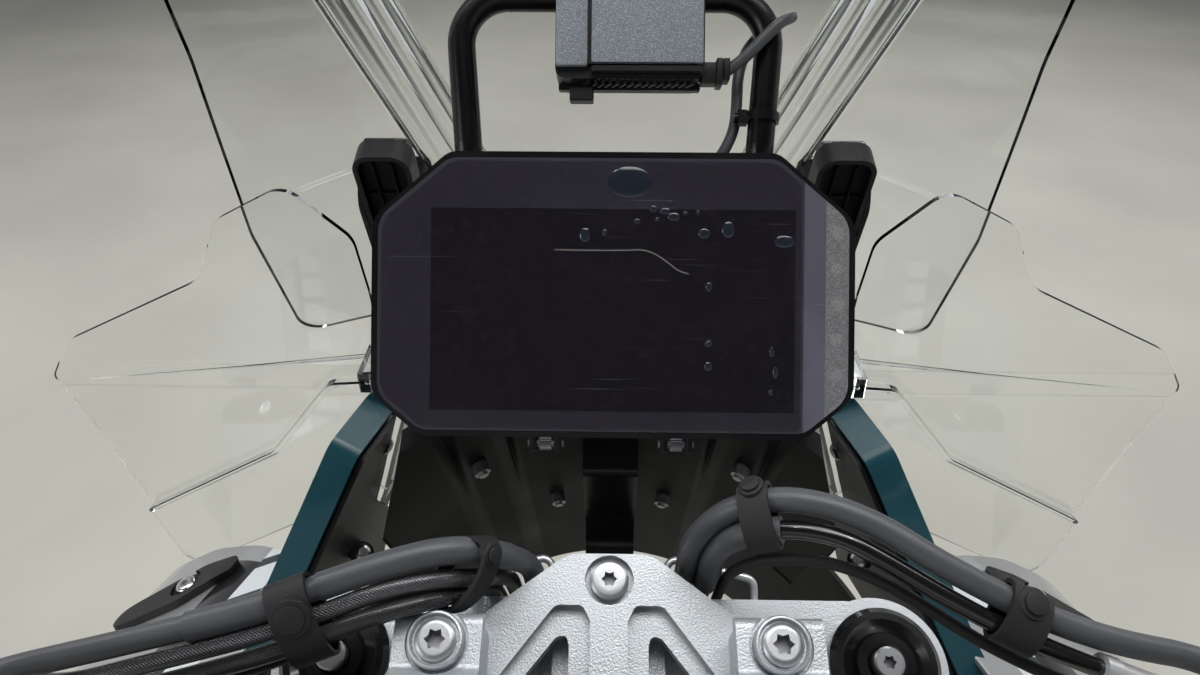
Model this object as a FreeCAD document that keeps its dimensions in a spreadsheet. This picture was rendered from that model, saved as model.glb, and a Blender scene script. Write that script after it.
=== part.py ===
import FreeCAD, Part
import Sketcher
import math
import os
from FreeCAD import Placement, Rotation, Vector

# The cockpit of an adventure motorcycle, as a piece off the vehicle: what sits round the
# steering head, from the fork tubes up to the windscreen.
# Millimetres. X is to the rider's right, Y is forwards, Z is up. The origin is the centre
# of the flange where the steering head bolts to the main frame.
# Steered pieces are drawn in the head's own axes: x across, n square to the steering axis
# and forwards, u along the axis and upwards.

doc = FreeCAD.newDocument("cockpit")
sheet = doc.addObject("Spreadsheet::Sheet", "sizes")

SIZES = (
    # alias, millimetres or degrees, what it measures
    ("rake", 25.5, "steering axis, degrees from upright"),
    ("head_y", 62.0, "steering axis forwards of the flange face at head_z"),
    ("head_z", 45.0, "height at which head_y is measured"),
    ("stem_radius", 15.0, "steering stem"),
    ("stem_play", 0.05, "running clearance of the stem in its bearings"),
    ("head_radius", 31.0, "steering head tube outside"),
    ("head_low", -70.0, "lower end of the steering head along the axis"),
    ("head_high", 41.0, "upper end of the steering head along the axis"),
    ("flange_width", 120.0, "frame flange across"),
    ("flange_height", 116.0, "frame flange up"),
    ("flange_thick", 14.0, "frame flange"),
    ("flange_pitch_across", 92.0, "flange bolt holes across"),
    ("flange_pitch_up", 88.0, "flange bolt holes up"),
    ("flange_hole_radius", 5.25, "flange bolt hole"),
    ("web_thick", 34.0, "web between flange and head tube"),
    ("spine_width", 24.0, "front spine across"),
    ("spine_seat", 36.0, "pad under the spine, forwards of the steering axis"),
    ("fork_half", 105.0, "fork tube from the centre plane"),
    ("fork_offset", 30.0, "fork tubes forwards of the steering axis"),
    ("fork_radius", 20.5, "fork tube outside"),
    ("fork_wall", 3.0, "fork tube wall"),
    ("fork_drop", 330.0, "fork tube below the steering axis datum"),
    ("spigot_radius", 20.0, "turned lower end of the fork tube"),
    ("spigot_length", 60.0, "turned lower end along the tube"),
    ("bridge_low", 46.0, "underside of the fork bridge"),
    ("bridge_high", 70.0, "top of the fork bridge"),
    ("bridge_ring", 26.0, "fork bridge clamp ring outside radius"),
    ("cap_stand", 5.0, "fork tube above the fork bridge"),
    ("cap_rise", 5.0, "fork cap above the tube"),
    ("riser_low", 78.0, "underside of the riser bridge plate"),
    ("riser_high", 90.0, "top of the riser bridge nose"),
    ("nose_n", 57.5, "nose bolt forwards of the steering axis"),
    ("clamp_half", 60.0, "handlebar clamp from the centre plane"),
    ("clamp_width", 31.0, "handlebar clamp across"),
    ("clamp_pitch", 54.0, "handlebar clamp bolts front to back"),
    ("bar_n", 4.0, "handlebar clamp centre forwards of the axis"),
    ("bar_u", 102.0, "handlebar clamp centre along the axis"),
    ("bar_clamp_radius", 14.0, "handlebar at the clamps"),
    ("bar_radius", 11.0, "handlebar at the grips"),
    ("bar_wall", 2.5, "handlebar tube wall"),
    ("bar_fit", 0.05, "clearance of grips and clamps on the bar"),
    ("grip_radius", 16.5, "handlebar grip outside"),
    ("grip_length", 122.0, "handlebar grip"),
    ("display_width", 191.0, "instrument display across"),
    ("display_height", 113.0, "instrument display up"),
    ("display_depth", 24.0, "instrument display housing"),
    ("display_tilt", 35.0, "display face, degrees from upright"),
    ("display_y", 145.0, "centre of the display face forwards"),
    ("display_z", 236.5, "centre of the display face up"),
    ("glass_thick", 2.2, "display cover glass"),
    ("mount_thick", 9.5, "display mount, between housing and spine"),
    ("rail_radius", 8.0, "carrier tube"),
    ("rail_y", 225.0, "carrier crossbar forwards"),
    ("rail_z", 140.0, "carrier crossbar up"),
    ("rail_half", 92.0, "carrier crossbar half length"),
    ("stay_radius", 5.0, "carrier stay inside a side panel"),
    ("nav_radius", 6.5, "navigation bar tube"),
    ("nav_half", 70.0, "navigation bar legs from the centre plane"),
    ("nav_box_width", 68.0, "navigation cradle across"),
    ("nav_box_height", 64.0, "navigation cradle up"),
    ("nav_box_depth", 22.0, "navigation cradle front to back"),
    ("screen_slope", 72.0, "windscreen, degrees from level"),
    ("screen_thick", 3.5, "windscreen sheet"),
    ("screen_base_y", 312.0, "windscreen lower corner forwards"),
    ("screen_base_z", 98.0, "windscreen lower corner up"),
    ("screen_crest", 76.0, "windscreen centre forwards of its edges"),
    ("arm_half", 117.0, "windscreen arm from the centre plane"),
    ("arm_width", 22.0, "windscreen arm across"),
    ("arm_depth", 40.0, "windscreen arm front to back"),
    ("arm_wall", 2.5, "windscreen arm wall"),
    ("guide_width", 12.0, "windscreen guide post across"),
    ("guide_depth", 16.0, "windscreen guide post front to back"),
    ("slide_play", 0.3, "clearance of the guide post in its arm"),
    ("deflector_thick", 3.0, "side deflector sheet"),
    ("deflector_y", 228.0, "side deflector forwards, at deflector_z"),
    ("deflector_z", 125.0, "height at which deflector_y is measured"),
    ("panel_depth", 16.0, "side panel, skin to inner edge"),
    ("panel_wall", 3.0, "side panel skin"),
    ("flank_thick", 3.0, "lower flank skin"),
    ("liner_thick", 2.5, "inner liner"),
    ("cover_radius", 146.0, "inner cover from the steering axis"),
    ("cover_thick", 3.0, "inner cover"),
    ("seat_gap", 0.3, "gap between a piece and its seat"),
    ("loom_radius", 4.5, "wiring loom"),
    ("hose_radius", 3.3, "brake and clutch hose"),
    ("lead_radius", 2.9, "smooth lead"),
    ("cable_radius", 2.2, "thin cable"),
)

for row, (alias, value, note) in enumerate(SIZES, start=1):
    sheet.set(f"A{row}", note)
    sheet.set(f"B{row}", str(value))
    sheet.setAlias(f"B{row}", alias)
doc.recompute()


def cell(alias):
    return float(sheet.get(alias))


rake = cell("rake")
HEAD = Placement(Vector(0, cell("head_y"), cell("head_z")), Rotation(Vector(1, 0, 0), rake))
FACE = Placement(
    Vector(0, cell("display_y"), cell("display_z")),
    Rotation(Vector(1, 0, 0), 90 - cell("display_tilt")),
)
SUBPARTS = []


def place_at_head(item):
    item.Placement = HEAD
    item.setExpression("Placement.Base.y", "sizes.head_y")
    item.setExpression("Placement.Base.z", "sizes.head_z")
    item.setExpression("Placement.Rotation.Angle", "sizes.rake * 1 deg")


def place_at_face(item):
    item.Placement = FACE
    item.setExpression("Placement.Base.y", "sizes.display_y")
    item.setExpression("Placement.Base.z", "sizes.display_z")
    item.setExpression("Placement.Rotation.Angle", "(90 - sizes.display_tilt) * 1 deg")


def in_head(point):
    """A point of the flange's axes as (n, u) in the steering head's own."""
    local = HEAD.inverse().multVec(point)
    return local.y, local.z


def keep(item, label):
    item.Label = label
    SUBPARTS.append(item)
    return item


def baked(shape):
    """The same shape with its position written into its geometry."""
    matrix = shape.Placement.toMatrix()
    plain = shape.copy()
    plain.Placement = Placement()
    return plain.transformed(matrix, True)


def feature(label, shape, placement=None):
    item = doc.addObject("Part::Feature", label)
    item.Shape = baked(shape)
    if placement is HEAD:
        place_at_head(item)
    elif placement is FACE:
        place_at_face(item)
    elif placement is not None:
        item.Placement = placement
    return keep(item, label)


# Outlines: straight runs between points, each corner rounded by its own radius
def rounded(points, flat=None):
    count = len(points)
    starts, ends, arcs = [], [], []
    for i in range(count):
        x, y, radius = points[i]
        here = Vector(x, y, 0)
        back = (Vector(*points[i - 1][:2], 0) - here).normalize()
        on = (Vector(*points[(i + 1) % count][:2], 0) - here).normalize()
        turn = math.pi - back.getAngle(on)
        if radius <= 0 or turn < 1e-6:
            starts.append(here)
            ends.append(here)
            arcs.append(None)
            continue
        reach = radius * math.tan(turn / 2)
        first, last = here + back * reach, here + on * reach
        middle = (back + on).normalize()
        centre = here + middle * math.hypot(reach, radius)
        starts.append(first)
        ends.append(last)
        arcs.append(Part.Arc(first, centre - middle * radius, last))
    curves = []
    for i in range(count):
        if arcs[i]:
            curves.append(arcs[i])
        following = starts[(i + 1) % count]
        if (following - ends[i]).Length > 1e-6:
            curves.append(Part.LineSegment(ends[i], following))
    return curves


def outline_face(points, place=Placement()):
    wire = Part.Wire([curve.toShape() for curve in rounded(points)])
    wire.Placement = place
    return Part.Face(wire)


def plane_of(body, role):
    for item in body.Origin.OriginFeatures:
        if item.Role == role:
            return item
    raise ValueError(role)


class Piece:
    """A PartDesign body that grows by pads, pockets and revolutions of its own sketches."""

    def __init__(self, label):
        self.body = doc.addObject("PartDesign::Body", label)
        self.label = label
        self.count = 0

    def sketch(self, curves, role="XY_Plane", offset=0.0):
        self.count += 1
        item = self.body.newObject("Sketcher::SketchObject", f"{self.label}_sketch_{self.count}")
        item.AttachmentSupport = (plane_of(self.body, role), [""])
        item.MapMode = "FlatFace"
        item.AttachmentOffset = Placement(Vector(0, 0, offset), Rotation())
        item.addGeometry(list(curves), False)
        return item

    def circle(self, x, y, alias, role="XY_Plane", offset=0.0):
        item = self.sketch([Part.Circle(Vector(x, y, 0), Vector(0, 0, 1), cell(alias))], role, offset)
        index = item.addConstraint(Sketcher.Constraint("Radius", 0, cell(alias)))
        item.renameConstraint(index, "size")
        item.setExpression("Constraints.size", f"sizes.{alias}")
        return item

    def pad(self, sketch, length, both_ways=False, backwards=False):
        item = self.body.newObject("PartDesign::Pad", f"{self.label}_pad_{self.count}")
        item.Profile = sketch
        if both_ways:
            item.SideType = "Symmetric"
        item.Reversed = backwards
        set_size(item, "Length", length)
        doc.recompute()
        return item

    def pocket(self, sketch, length, both_ways=False, backwards=False):
        before = self.body.Shape.Volume
        item = self.body.newObject("PartDesign::Pocket", f"{self.label}_pocket_{self.count}")
        item.Profile = sketch
        if both_ways:
            item.SideType = "Symmetric"
        item.Reversed = backwards
        set_size(item, "Length", length)
        doc.recompute()
        if self.body.Shape.Volume > before - 1e-3:
            raise RuntimeError(f"{self.label}: a pocket cuts nothing")
        return item

    def revolve(self, sketch, axis="V_Axis"):
        item = self.body.newObject("PartDesign::Revolution", f"{self.label}_turn_{self.count}")
        item.Profile = sketch
        item.ReferenceAxis = (sketch, [axis])
        item.Angle = 360.0
        doc.recompute()
        return item

    def round_edges(self, chosen, radius, chamfer=False):
        kind = "Chamfer" if chamfer else "Fillet"
        base = self.body.Tip
        names = [f"Edge{i}" for i, edge in enumerate(base.Shape.Edges, 1) if chosen(edge)]
        item = self.body.newObject(f"PartDesign::{kind}", f"{self.label}_{kind.lower()}_{self.count}")
        self.count += 1
        item.Base = (base, names)
        set_size(item, "Size" if chamfer else "Radius", radius)
        doc.recompute()
        return item

    def done(self, where=None):
        if where is not None:
            where(self.body)
        return keep(self.body, self.label)


def set_size(item, name, size):
    if isinstance(size, str):
        item.setExpression(name, size if "sizes." in size else f"sizes.{size}")
    else:
        setattr(item, name, size)


SIDES = (("left", -1), ("right", 1))


def placed(shape, placement):
    moved = shape.copy()
    moved.Placement = placement
    return moved


def mirrored(shape, side):
    return shape.copy() if side > 0 else shape.mirror(Vector(0, 0, 0), Vector(1, 0, 0))


# Tubes: straight runs joined by tangent arcs as large as the two runs allow
def tube(points, radius, bore=0.0, share=0.45, bend=None):
    points = [Vector(*p) for p in points]
    at = points[0]
    parts, holes = [], []

    def run(start, end):
        way = end - start
        if way.Length < 1e-6:
            return
        parts.append(Part.makeCylinder(radius, way.Length, start, way))
        if bore:
            holes.append(Part.makeCylinder(bore, way.Length, start, way))

    def turn_about(first, tangent, centre, axis, degrees):
        for size, kept in ((radius, parts), (bore, holes)):
            if size:
                disc = Part.Face(Part.Wire([Part.Circle(first, tangent, size).toShape()]))
                kept.append(disc.revolve(centre, axis, degrees))

    for before, here, after in zip(points, points[1:], points[2:]):
        back, on = before - here, after - here
        turn = math.pi - back.getAngle(on)
        curve = bend or share * min(back.Length, on.Length) / math.tan(turn / 2)
        reach = curve * math.tan(turn / 2)
        back.normalize()
        on.normalize()
        first, last = here + back * reach, here + on * reach
        centre = here + (back + on).normalize() * math.hypot(reach, curve)
        run(at, first)
        turn_about(first, back * -1, centre, (back * -1).cross(on), math.degrees(turn))
        at = last
    run(at, points[-1])
    solid = fuse(parts)
    return solid.cut(fuse(holes)) if bore else solid


def fuse(shapes):
    whole = shapes[0]
    if len(shapes) > 1:
        whole = whole.multiFuse(shapes[1:])
    return whole.removeSplitter()


def rod(start, end, radius):
    start, end = Vector(*start), Vector(*end)
    return Part.makeCylinder(radius, (end - start).Length, start, end - start)


def slab(points, place, thick, back=0.0):
    """An outline in the placement's own x and y, from back to thick along its z."""
    face = outline_face(points)
    face.translate(Vector(0, 0, back))
    solid = face.extrude(Vector(0, 0, thick))
    solid.Placement = place
    return solid


# Steering head: a bored tube with a bolted flange behind it, on the frame side
def steering_head():
    half_across = cell("flange_width") / 2
    half_up = cell("flange_height") / 2
    corner = 16
    flange = slab(
        [
            (-half_across, -half_up, corner),
            (half_across, -half_up, corner),
            (half_across, half_up, corner),
            (-half_across, half_up, corner),
        ],
        Placement(Vector(0, 0, 0), Rotation(Vector(1, 0, 0), 90)),
        -cell("flange_thick"),
    )
    low, high = cell("head_low"), cell("head_high")
    barrel = Part.makeCylinder(cell("head_radius"), high - low, Vector(0, 0, low))
    collars = [
        Part.makeCylinder(cell("head_radius") + 3, 14, Vector(0, 0, end)) for end in (low, high - 14)
    ]
    barrel = fuse([barrel] + collars)
    barrel.Placement = HEAD
    front = HEAD.multVec(Vector(0, 0, low + 12))
    top = HEAD.multVec(Vector(0, -cell("head_radius") + 8, high - 6))
    web_side = [
        (cell("flange_thick") / 2, -half_up + 8, 0),
        (front.y, front.z, 0),
        (HEAD.multVec(Vector(0, 0, high - 10)).y, HEAD.multVec(Vector(0, 0, high - 10)).z, 0),
        (top.y, top.z, 0),
        (cell("flange_thick") / 2, half_up - 8, 0),
    ]
    upright = Placement(Vector(0, 0, 0), Rotation(0.5, 0.5, 0.5, 0.5))
    web = slab(web_side, upright, cell("web_thick"), -cell("web_thick") / 2)
    pad_wide = cell("spine_width") + 8
    pad = Part.makeBox(pad_wide, cell("spine_seat"), 54, Vector(-pad_wide / 2, 0, -54))
    pad.Placement = HEAD
    whole = fuse([flange, barrel, web, pad])
    reach = 40
    bore = Part.makeCylinder(
        cell("stem_radius") + cell("stem_play"), high - low + 2 * reach, Vector(0, 0, low - reach)
    )
    bore.Placement = HEAD
    whole = whole.cut(bore)
    for across in (-0.5, 0.5):
        for up in (-0.5, 0.5):
            hole = Part.makeCylinder(
                cell("flange_hole_radius"),
                60,
                Vector(across * cell("flange_pitch_across"), -5, up * cell("flange_pitch_up")),
                Vector(0, 1, 0),
            )
            whole = whole.cut(hole)
    feature("steering_head", whole)


# Spine: the casting that reaches forwards from the head and carries the display and carrier
def front_spine():
    back = -cell("display_depth") - cell("mount_thick")
    seat_low = in_head(FACE.multVec(Vector(0, -61, back)))
    seat_high = in_head(FACE.multVec(Vector(0, -18, back)))
    rail = in_head(Vector(0, cell("rail_y"), cell("rail_z")))
    root = cell("spine_seat")
    side_view = [
        # n forwards, u up, corner radius
        (root, -54, 2),
        (root, 0, 2),
        (98, 0, 10),
        (106, 14, 8),
        (106, 74, 4),
        (*seat_low, 6),
        (*seat_high, 4),
        (170, 88, 8),
        (rail[0] - 16, 54, 12),
        (rail[0] + 14, rail[1] + 16, 9),
        (rail[0] + 16, rail[1] - 14, 9),
        (150, -36, 20),
        (96, -56, 20),
    ]
    recess = [
        (122, -22, 8),
        (118, 66, 6),
        (150, 80, 8),
        (158, 44, 12),
        (rail[0] - 14, rail[1] + 6, 8),
        (rail[0] - 14, rail[1] - 12, 8),
        (150, -22, 10),
    ]
    piece = Piece("front_spine")
    piece.pad(piece.sketch(rounded(side_view), "YZ_Plane"), "spine_width", both_ways=True)
    for side in (-1, 1):
        sketch = piece.sketch(rounded(recess), "YZ_Plane", side * cell("spine_width") / 2)
        piece.pocket(sketch, "sizes.spine_width * 0.36", backwards=side < 0)
    eye = piece.sketch([Part.Circle(Vector(*rail, 0), Vector(0, 0, 1), cell("rail_radius"))], "YZ_Plane")
    piece.pocket(eye, "spine_width", both_ways=True)
    piece.done(place_at_head)


# Side panel axes: p forwards along the panel, q up it, and out through its skin
PANEL_ORIGIN = Vector(176, 104, 44)
PANEL_FORWARD = Vector(-0.33, 0.944, 0).normalize()
PANEL_UP = Vector(-0.285, -0.1, 0.953).normalize()
PANEL_OUT = PANEL_FORWARD.cross(PANEL_UP)
BOSSES = ((142, 58), (120, 8), (92, -38))


def panel_point(p, q, out=0.0):
    return PANEL_ORIGIN + PANEL_FORWARD * p + PANEL_UP * q + PANEL_OUT * out


def panel_place(out=0.0):
    turn = Rotation(PANEL_FORWARD, PANEL_UP, PANEL_OUT, "XYZ")
    return Placement(panel_point(0, 0, out), turn)


# Carrier: a tube across behind the display, with stays that run down inside the side panels
def stay(radius):
    depth = cell("panel_depth") - cell("panel_wall") - cell("stay_radius") - 1.5
    start = Vector(cell("rail_half") - 6, cell("rail_y"), cell("rail_z"))
    points = [start, start + Vector(10, 2, -10)]
    points += [panel_point(p, q, depth) for p, q in BOSSES]
    return tube([tuple(point) for point in points], radius, share=0.4)


def carrier():
    radius, half = cell("rail_radius"), cell("rail_half")
    y, z = cell("rail_y"), cell("rail_z")
    shapes = [rod((-half, y, z), (half, y, z), radius)]
    for _, side in SIDES:
        shapes.append(mirrored(stay(cell("stay_radius")), side))
    feature("carrier", fuse(shapes))


# Inner cover: a shield on an arc about the steering axis, ahead of the turning fork. It
# stands behind the display and hangs down past the spine to keep spray off the head.
def inner_cover():
    radius, thick = cell("cover_radius"), cell("cover_thick")
    low, high, sweep = -196.0, 76.0, 50.0
    start = Rotation(Vector(0, 0, 1), 90 - sweep)

    def ring(inner, outer, bottom, top, angle, turn):
        corners = [(inner, bottom, 0), (outer, bottom, 0), (outer, top, 0), (inner, top, 0)]
        face = outline_face(corners, Placement(Vector(), Rotation(Vector(1, 0, 0), 90)))
        return baked(placed(baked(face).revolve(Vector(), Vector(0, 0, 1), angle), Placement(Vector(), turn)))

    wall = ring(radius, radius + thick, low, high, 2 * sweep, start)
    lips = [
        ring(radius, radius + 9, high - thick, high, 2 * sweep, start),
        ring(radius, radius + 9, low, low + thick, 2 * sweep, start),
    ]
    ribs = []
    for degrees in (-31, -20, 20, 31):
        turn = Rotation(Vector(0, 0, 1), 90 - degrees - 0.5)
        ribs.append(ring(radius - 3, radius + 1, -34, high - 26, 1.0, turn))
    front_view = [
        # x across, u up, corner radius
        (-125, high + 10, 0),
        (125, high + 10, 0),
        (125, -120, 30),
        (88, low - 10, 0),
        (-88, low - 10, 0),
        (-125, -120, 30),
    ]
    facing = Placement(Vector(), Rotation(Vector(1, 0, 0), 90))
    cover = fuse([wall] + lips + ribs).common(slab(front_view, facing, 400, -200))
    gap = cell("seat_gap")
    spine_half = cell("spine_width") / 2
    slot_half = spine_half + gap
    # The spine passes through a slot, which ends below it
    spine_floor = -42.0
    cover = cover.cut(Part.makeBox(2 * slot_half, 60, 200, Vector(-slot_half, 120, spine_floor)))
    feature("inner_cover", cover, HEAD)


def display():
    half_w, half_h = cell("display_width") / 2, cell("display_height") / 2
    # Upper corners are cut wider than the lower ones
    def face_outline(inset):
        w, h = half_w - inset, half_h - inset
        return [
            (-half_w + 30.5, h, 9),
            (-w, half_h - 26.5, 12),
            (-w, -half_h + 16.5, 12),
            (-half_w + 19.5, -h, 9),
            (half_w - 19.5, -h, 9),
            (w, -half_h + 16.5, 12),
            (w, half_h - 26.5, 12),
            (half_w - 30.5, h, 9),
        ]

    housing = Piece("display_housing")
    glass = cell("glass_thick")
    housing.pad(housing.sketch(rounded(face_outline(0)), "XY_Plane"), "display_depth", backwards=True)
    back = -cell("display_depth")
    housing.round_edges(
        lambda edge: all(abs(v.Z - back) < 1e-4 for v in edge.Vertexes) and len(edge.Vertexes) == 2, 6.0
    )
    recess = housing.sketch(rounded(face_outline(2.2)), "XY_Plane")
    housing.pocket(recess, "glass_thick")
    housing.done(place_at_face)

    cover = Piece("display_glass")
    cover.pad(cover.sketch(rounded(face_outline(2.4)), "XY_Plane"), "glass_thick", backwards=True)
    cover.done(place_at_face)

    # The mount: a plate on the housing's back, a pad down to the spine and four bushes
    depth, thick = cell("display_depth"), cell("mount_thick")
    plate_thick = 5.0
    plate = [(-46, -44, 8), (46, -44, 8), (38, 18, 12), (-38, 18, 12)]
    mount = slab(plate, Placement(), plate_thick, -depth - plate_thick)
    pad = [(-19, -58, 5), (19, -58, 5), (19, -18, 5), (-19, -18, 5)]
    shapes = [mount, slab(pad, Placement(), thick - plate_thick, -depth - thick)]
    shapes.append(slab(pad, Placement(), plate_thick, -depth - plate_thick))
    for x in (-34, 34):
        for y in (-34, 8):
            shapes.append(Part.makeCylinder(7, thick, Vector(x, y, -depth - thick)))
    feature("display_mount", fuse(shapes), FACE)


# Navigation bar: an upturned U whose feet stand on the carrier tube
NAV_PLACE = Placement(Vector(7, 243, 291), Rotation(Vector(1, 0, 0), 90 - cell("display_tilt")))


def nav_unit():
    half = cell("nav_half")
    y, z = cell("rail_y"), cell("rail_z")
    legs = [
        (-half + 5, y + 4, z + 8),
        (-half + 2, 234, 256),
        (-half - 4, 278, 318),
        (half + 4, 278, 318),
        (half - 2, 234, 256),
        (half - 5, y + 4, z + 8),
    ]
    bar = tube(legs, cell("nav_radius"), bend=22)
    rail = rod((-200, y, z), (200, y, z), cell("rail_radius"))
    feature("nav_bar", bar.cut(rail))

    # Clamps: split collars round the carrier tube, one at each foot
    for name, side in SIDES:
        x = side * (half - 5)
        collar = rod((x - 11, y, z), (x + 11, y, z), cell("rail_radius") + 5)
        collar = fuse([collar, Part.makeBox(22, 9, 26, Vector(x - 11, y - 4.5, z - 26))])
        collar = collar.cut(rail)
        collar = collar.cut(tube(legs, cell("nav_radius"), bend=22))
        feature(f"nav_clamp_{name}", collar)

    wide, tall, deep = cell("nav_box_width"), cell("nav_box_height"), cell("nav_box_depth")
    case = Piece("nav_cradle")
    outline = [(-wide / 2, 0, 5), (wide / 2, 0, 5), (wide / 2, tall, 7), (-wide / 2, tall, 7)]
    case.pad(case.sketch(rounded(outline)), "nav_box_depth", backwards=True)
    bar_at = NAV_PLACE.inverse().multVec(Vector(0, 278, 318))
    groove = case.sketch(
        [Part.Circle(Vector(bar_at.y, bar_at.z, 0), Vector(0, 0, 1), cell("nav_radius"))], "YZ_Plane"
    )
    case.pocket(groove, wide + 20, both_ways=True)
    case.done(lambda item: setattr(item, "Placement", NAV_PLACE))
    lid = Piece("nav_cover")
    edge = 3.0
    inner = [(x - math.copysign(edge, x), y + (edge + 3 if y == 0 else -edge), 4) for x, y, _ in outline]
    lid.pad(lid.sketch(rounded(inner)), 2.5)
    lid.done(lambda item: setattr(item, "Placement", NAV_PLACE))


# Side panels: painted trays with a deep rear edge, a liner inside and a lower flank outside
PANEL = (
    # p forwards, q up, corner radius
    (-28, -62, 12),
    (30, 14, 120),
    (77, 85, 12),
    (112, 92, 14),
    (198, 58, 30),
    (226, 6, 20),
    (196, -52, 20),
    (100, -80, 20),
    (0, -80, 16),
)


def inset(points, amount):
    """The outline moved inwards by amount, by sliding each straight run."""
    count = len(points)
    moved = []
    for i in range(count):
        a, b, c = (Vector(*points[(i + k) % count][:2], 0) for k in (-1, 0, 1))
        d1, d2 = (b - a).normalize(), (c - b).normalize()
        n1, n2 = Vector(d1.y, -d1.x, 0), Vector(d2.y, -d2.x, 0)
        cross = d1.x * d2.y - d1.y * d2.x
        start1, start2 = b + n1 * amount, b + n2 * amount
        if abs(cross) < 1e-9:
            here = start1
        else:
            gap = start2 - start1
            here = start1 + d1 * ((gap.x * d2.y - gap.y * d2.x) / cross)
        moved.append((here.x, here.y, max(points[i][2] - amount, 1)))
    return moved


def side_panels():
    depth, wall = cell("panel_depth"), cell("panel_wall")
    gap = cell("seat_gap")
    clear_of_stay = stay(cell("stay_radius") + gap)
    for name, side in SIDES:
        shell = slab(PANEL, panel_place(), depth)
        rim = slab(inset(PANEL, wall), panel_place(), depth - wall)
        shell = shell.cut(rim)
        shell = fuse([shell] + [boss(p, q, 0, depth - wall / 2) for p, q in BOSSES])
        shell = shell.cut(clear_of_stay)
        feature(f"side_panel_{name}", mirrored(shell, side))

        thick = cell("liner_thick")
        liner_outline = inset(PANEL, wall + 1.2)
        liner = slab(liner_outline, panel_place(), thick, -thick - gap)
        ahead = [(128, -150, 0), (300, -150, 0), (300, 150, 0), (134, 150, 0)]
        liner = liner.cut(slab(ahead, panel_place(), 60, -30))
        feature(f"side_liner_{name}", mirrored(liner, side))


# Lower flanks: shelves that spread outwards from the side panels, with a screwed trim on top
FLANK_ALONG = PANEL_FORWARD
FLANK_ACROSS = Vector(PANEL_FORWARD.y, -PANEL_FORWARD.x, 0)
FLANK_PROFILE = (
    # outwards, up, corner radius
    (214, 39, 0),
    (262, 27, 60),
    (330, -10, 60),
    (352, -44, 30),
    (350, -104, 0),
)
FLANK_PLAN = (
    # forwards, outwards, corner radius
    (-70, 200, 0),
    (-70, 330, 30),
    (-40, 400, 0),
    (70, 400, 30),
    (118, 300, 30),
    (112, 200, 0),
)


def flank_point(along, across, up):
    return FLANK_ALONG * along + FLANK_ACROSS * across + Vector(0, 0, up)


def flank_slab(out_by, reach):
    """The space under the flank's profile, grown outwards, and down and inwards by reach."""
    (near, near_up, _), (following, following_up, _) = FLANK_PROFILE[:2]
    slope = (following_up - near_up) / (following - near)
    far, floor, _ = FLANK_PROFILE[-1]
    outline = [(near - reach, near_up - slope * reach, 0)] + list(FLANK_PROFILE[1:-1])
    outline += [(far, floor - reach, 0), (near - reach, floor - reach, 0)]
    turn = Rotation(FLANK_ACROSS, Vector(0, 0, 1), FLANK_ALONG * -1, "XYZ")
    grown = inset(outline, -out_by)
    return slab(grown, Placement(Vector(), turn), 400, -200)


def side_flanks():
    thick, gap = cell("flank_thick"), cell("seat_gap")
    inside = 60
    panel_space = slab(PANEL, panel_place(), inside + cell("panel_depth") + gap, -inside)
    flat = Placement(Vector(), Rotation(FLANK_ALONG, FLANK_ACROSS * -1, Vector(0, 0, 1), "XYZ"))
    plan = slab([(a, -b, r) for a, b, r in FLANK_PLAN], flat, 400, -200)
    trim_plan = slab([(a, -b, r) for a, b, r in TRIM_PLAN], flat, 400, -200)
    screw = flank_point(*TRIM_SCREW, 0)
    for name, side in SIDES:
        skin = flank_slab(0, 0).cut(flank_slab(-thick, 50)).common(plan).cut(panel_space)
        feature(f"side_flank_{name}", mirrored(skin, side))

        trim = flank_slab(gap + 5.0, 0).cut(flank_slab(gap, 50)).common(trim_plan)
        well = Part.makeCylinder(9.5, 60, Vector(screw.x, screw.y, TRIM_SCREW_UP), Vector(0.3, 0, 1))
        head = Part.makeCylinder(6.0, 3.0, Vector(screw.x, screw.y, TRIM_SCREW_UP - 0.8), Vector(0.3, 0, 1))
        drive = Part.makeCylinder(3.0, 3, Vector(screw.x, screw.y, TRIM_SCREW_UP + 1), Vector(0.3, 0, 1))
        trim = fuse([trim.cut(well), head.cut(flank_slab(gap, 50))]).cut(drive)
        feature(f"side_trim_{name}", mirrored(trim, side))


TRIM_PLAN = (
    # forwards, outwards, corner radius
    (92, 262, 4),
    (104, 262, 5),
    (98, 286, 20),
    (64, 330, 7),
    (52, 322, 6),
    (70, 284, 20),
)
TRIM_SCREW = (84, 290)
TRIM_SCREW_UP = 14.0


def boss(p, q, low, high, radius=7.0):
    return Part.makeCylinder(radius, high - low, panel_point(p, q, low), PANEL_OUT)


# Side deflector: a pressed clear sheet, stepped along one crease
DEFLECTOR = (
    # x outwards, z up, corner radius
    (124, 188, 20),
    (126, 220, 14),
    (153, 249, 12),
    (190, 230, 14),
    (210, 194, 22),
    (292, 154, 16),
    (318, 122, 18),
    (297, -44, 6),
    (288, -54, 6),
    (205, -4, 10),
    (156, 85, 12),
    (124, 120, 10),
)


FIELD = (
    # x outwards, z up, corner radius: the part below the slanting crease
    (120, 128, 0),
    (158, 124, 10),
    (206, 64, 14),
    (340, -16, 0),
    (340, -120, 0),
    (100, -120, 0),
)
# The clear strap that ties the sheet to the inner liner, in the side panel's own axes
STRAP = (
    (103, 26, 6),
    (104, 16, 6),
    (116, 16, 6),
    (118, 46, 30),
    (122, 84, 30),
    (124, 114, 4),
    (110, 114, 4),
    (107, 84, 30),
    (105, 46, 30),
)


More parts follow.
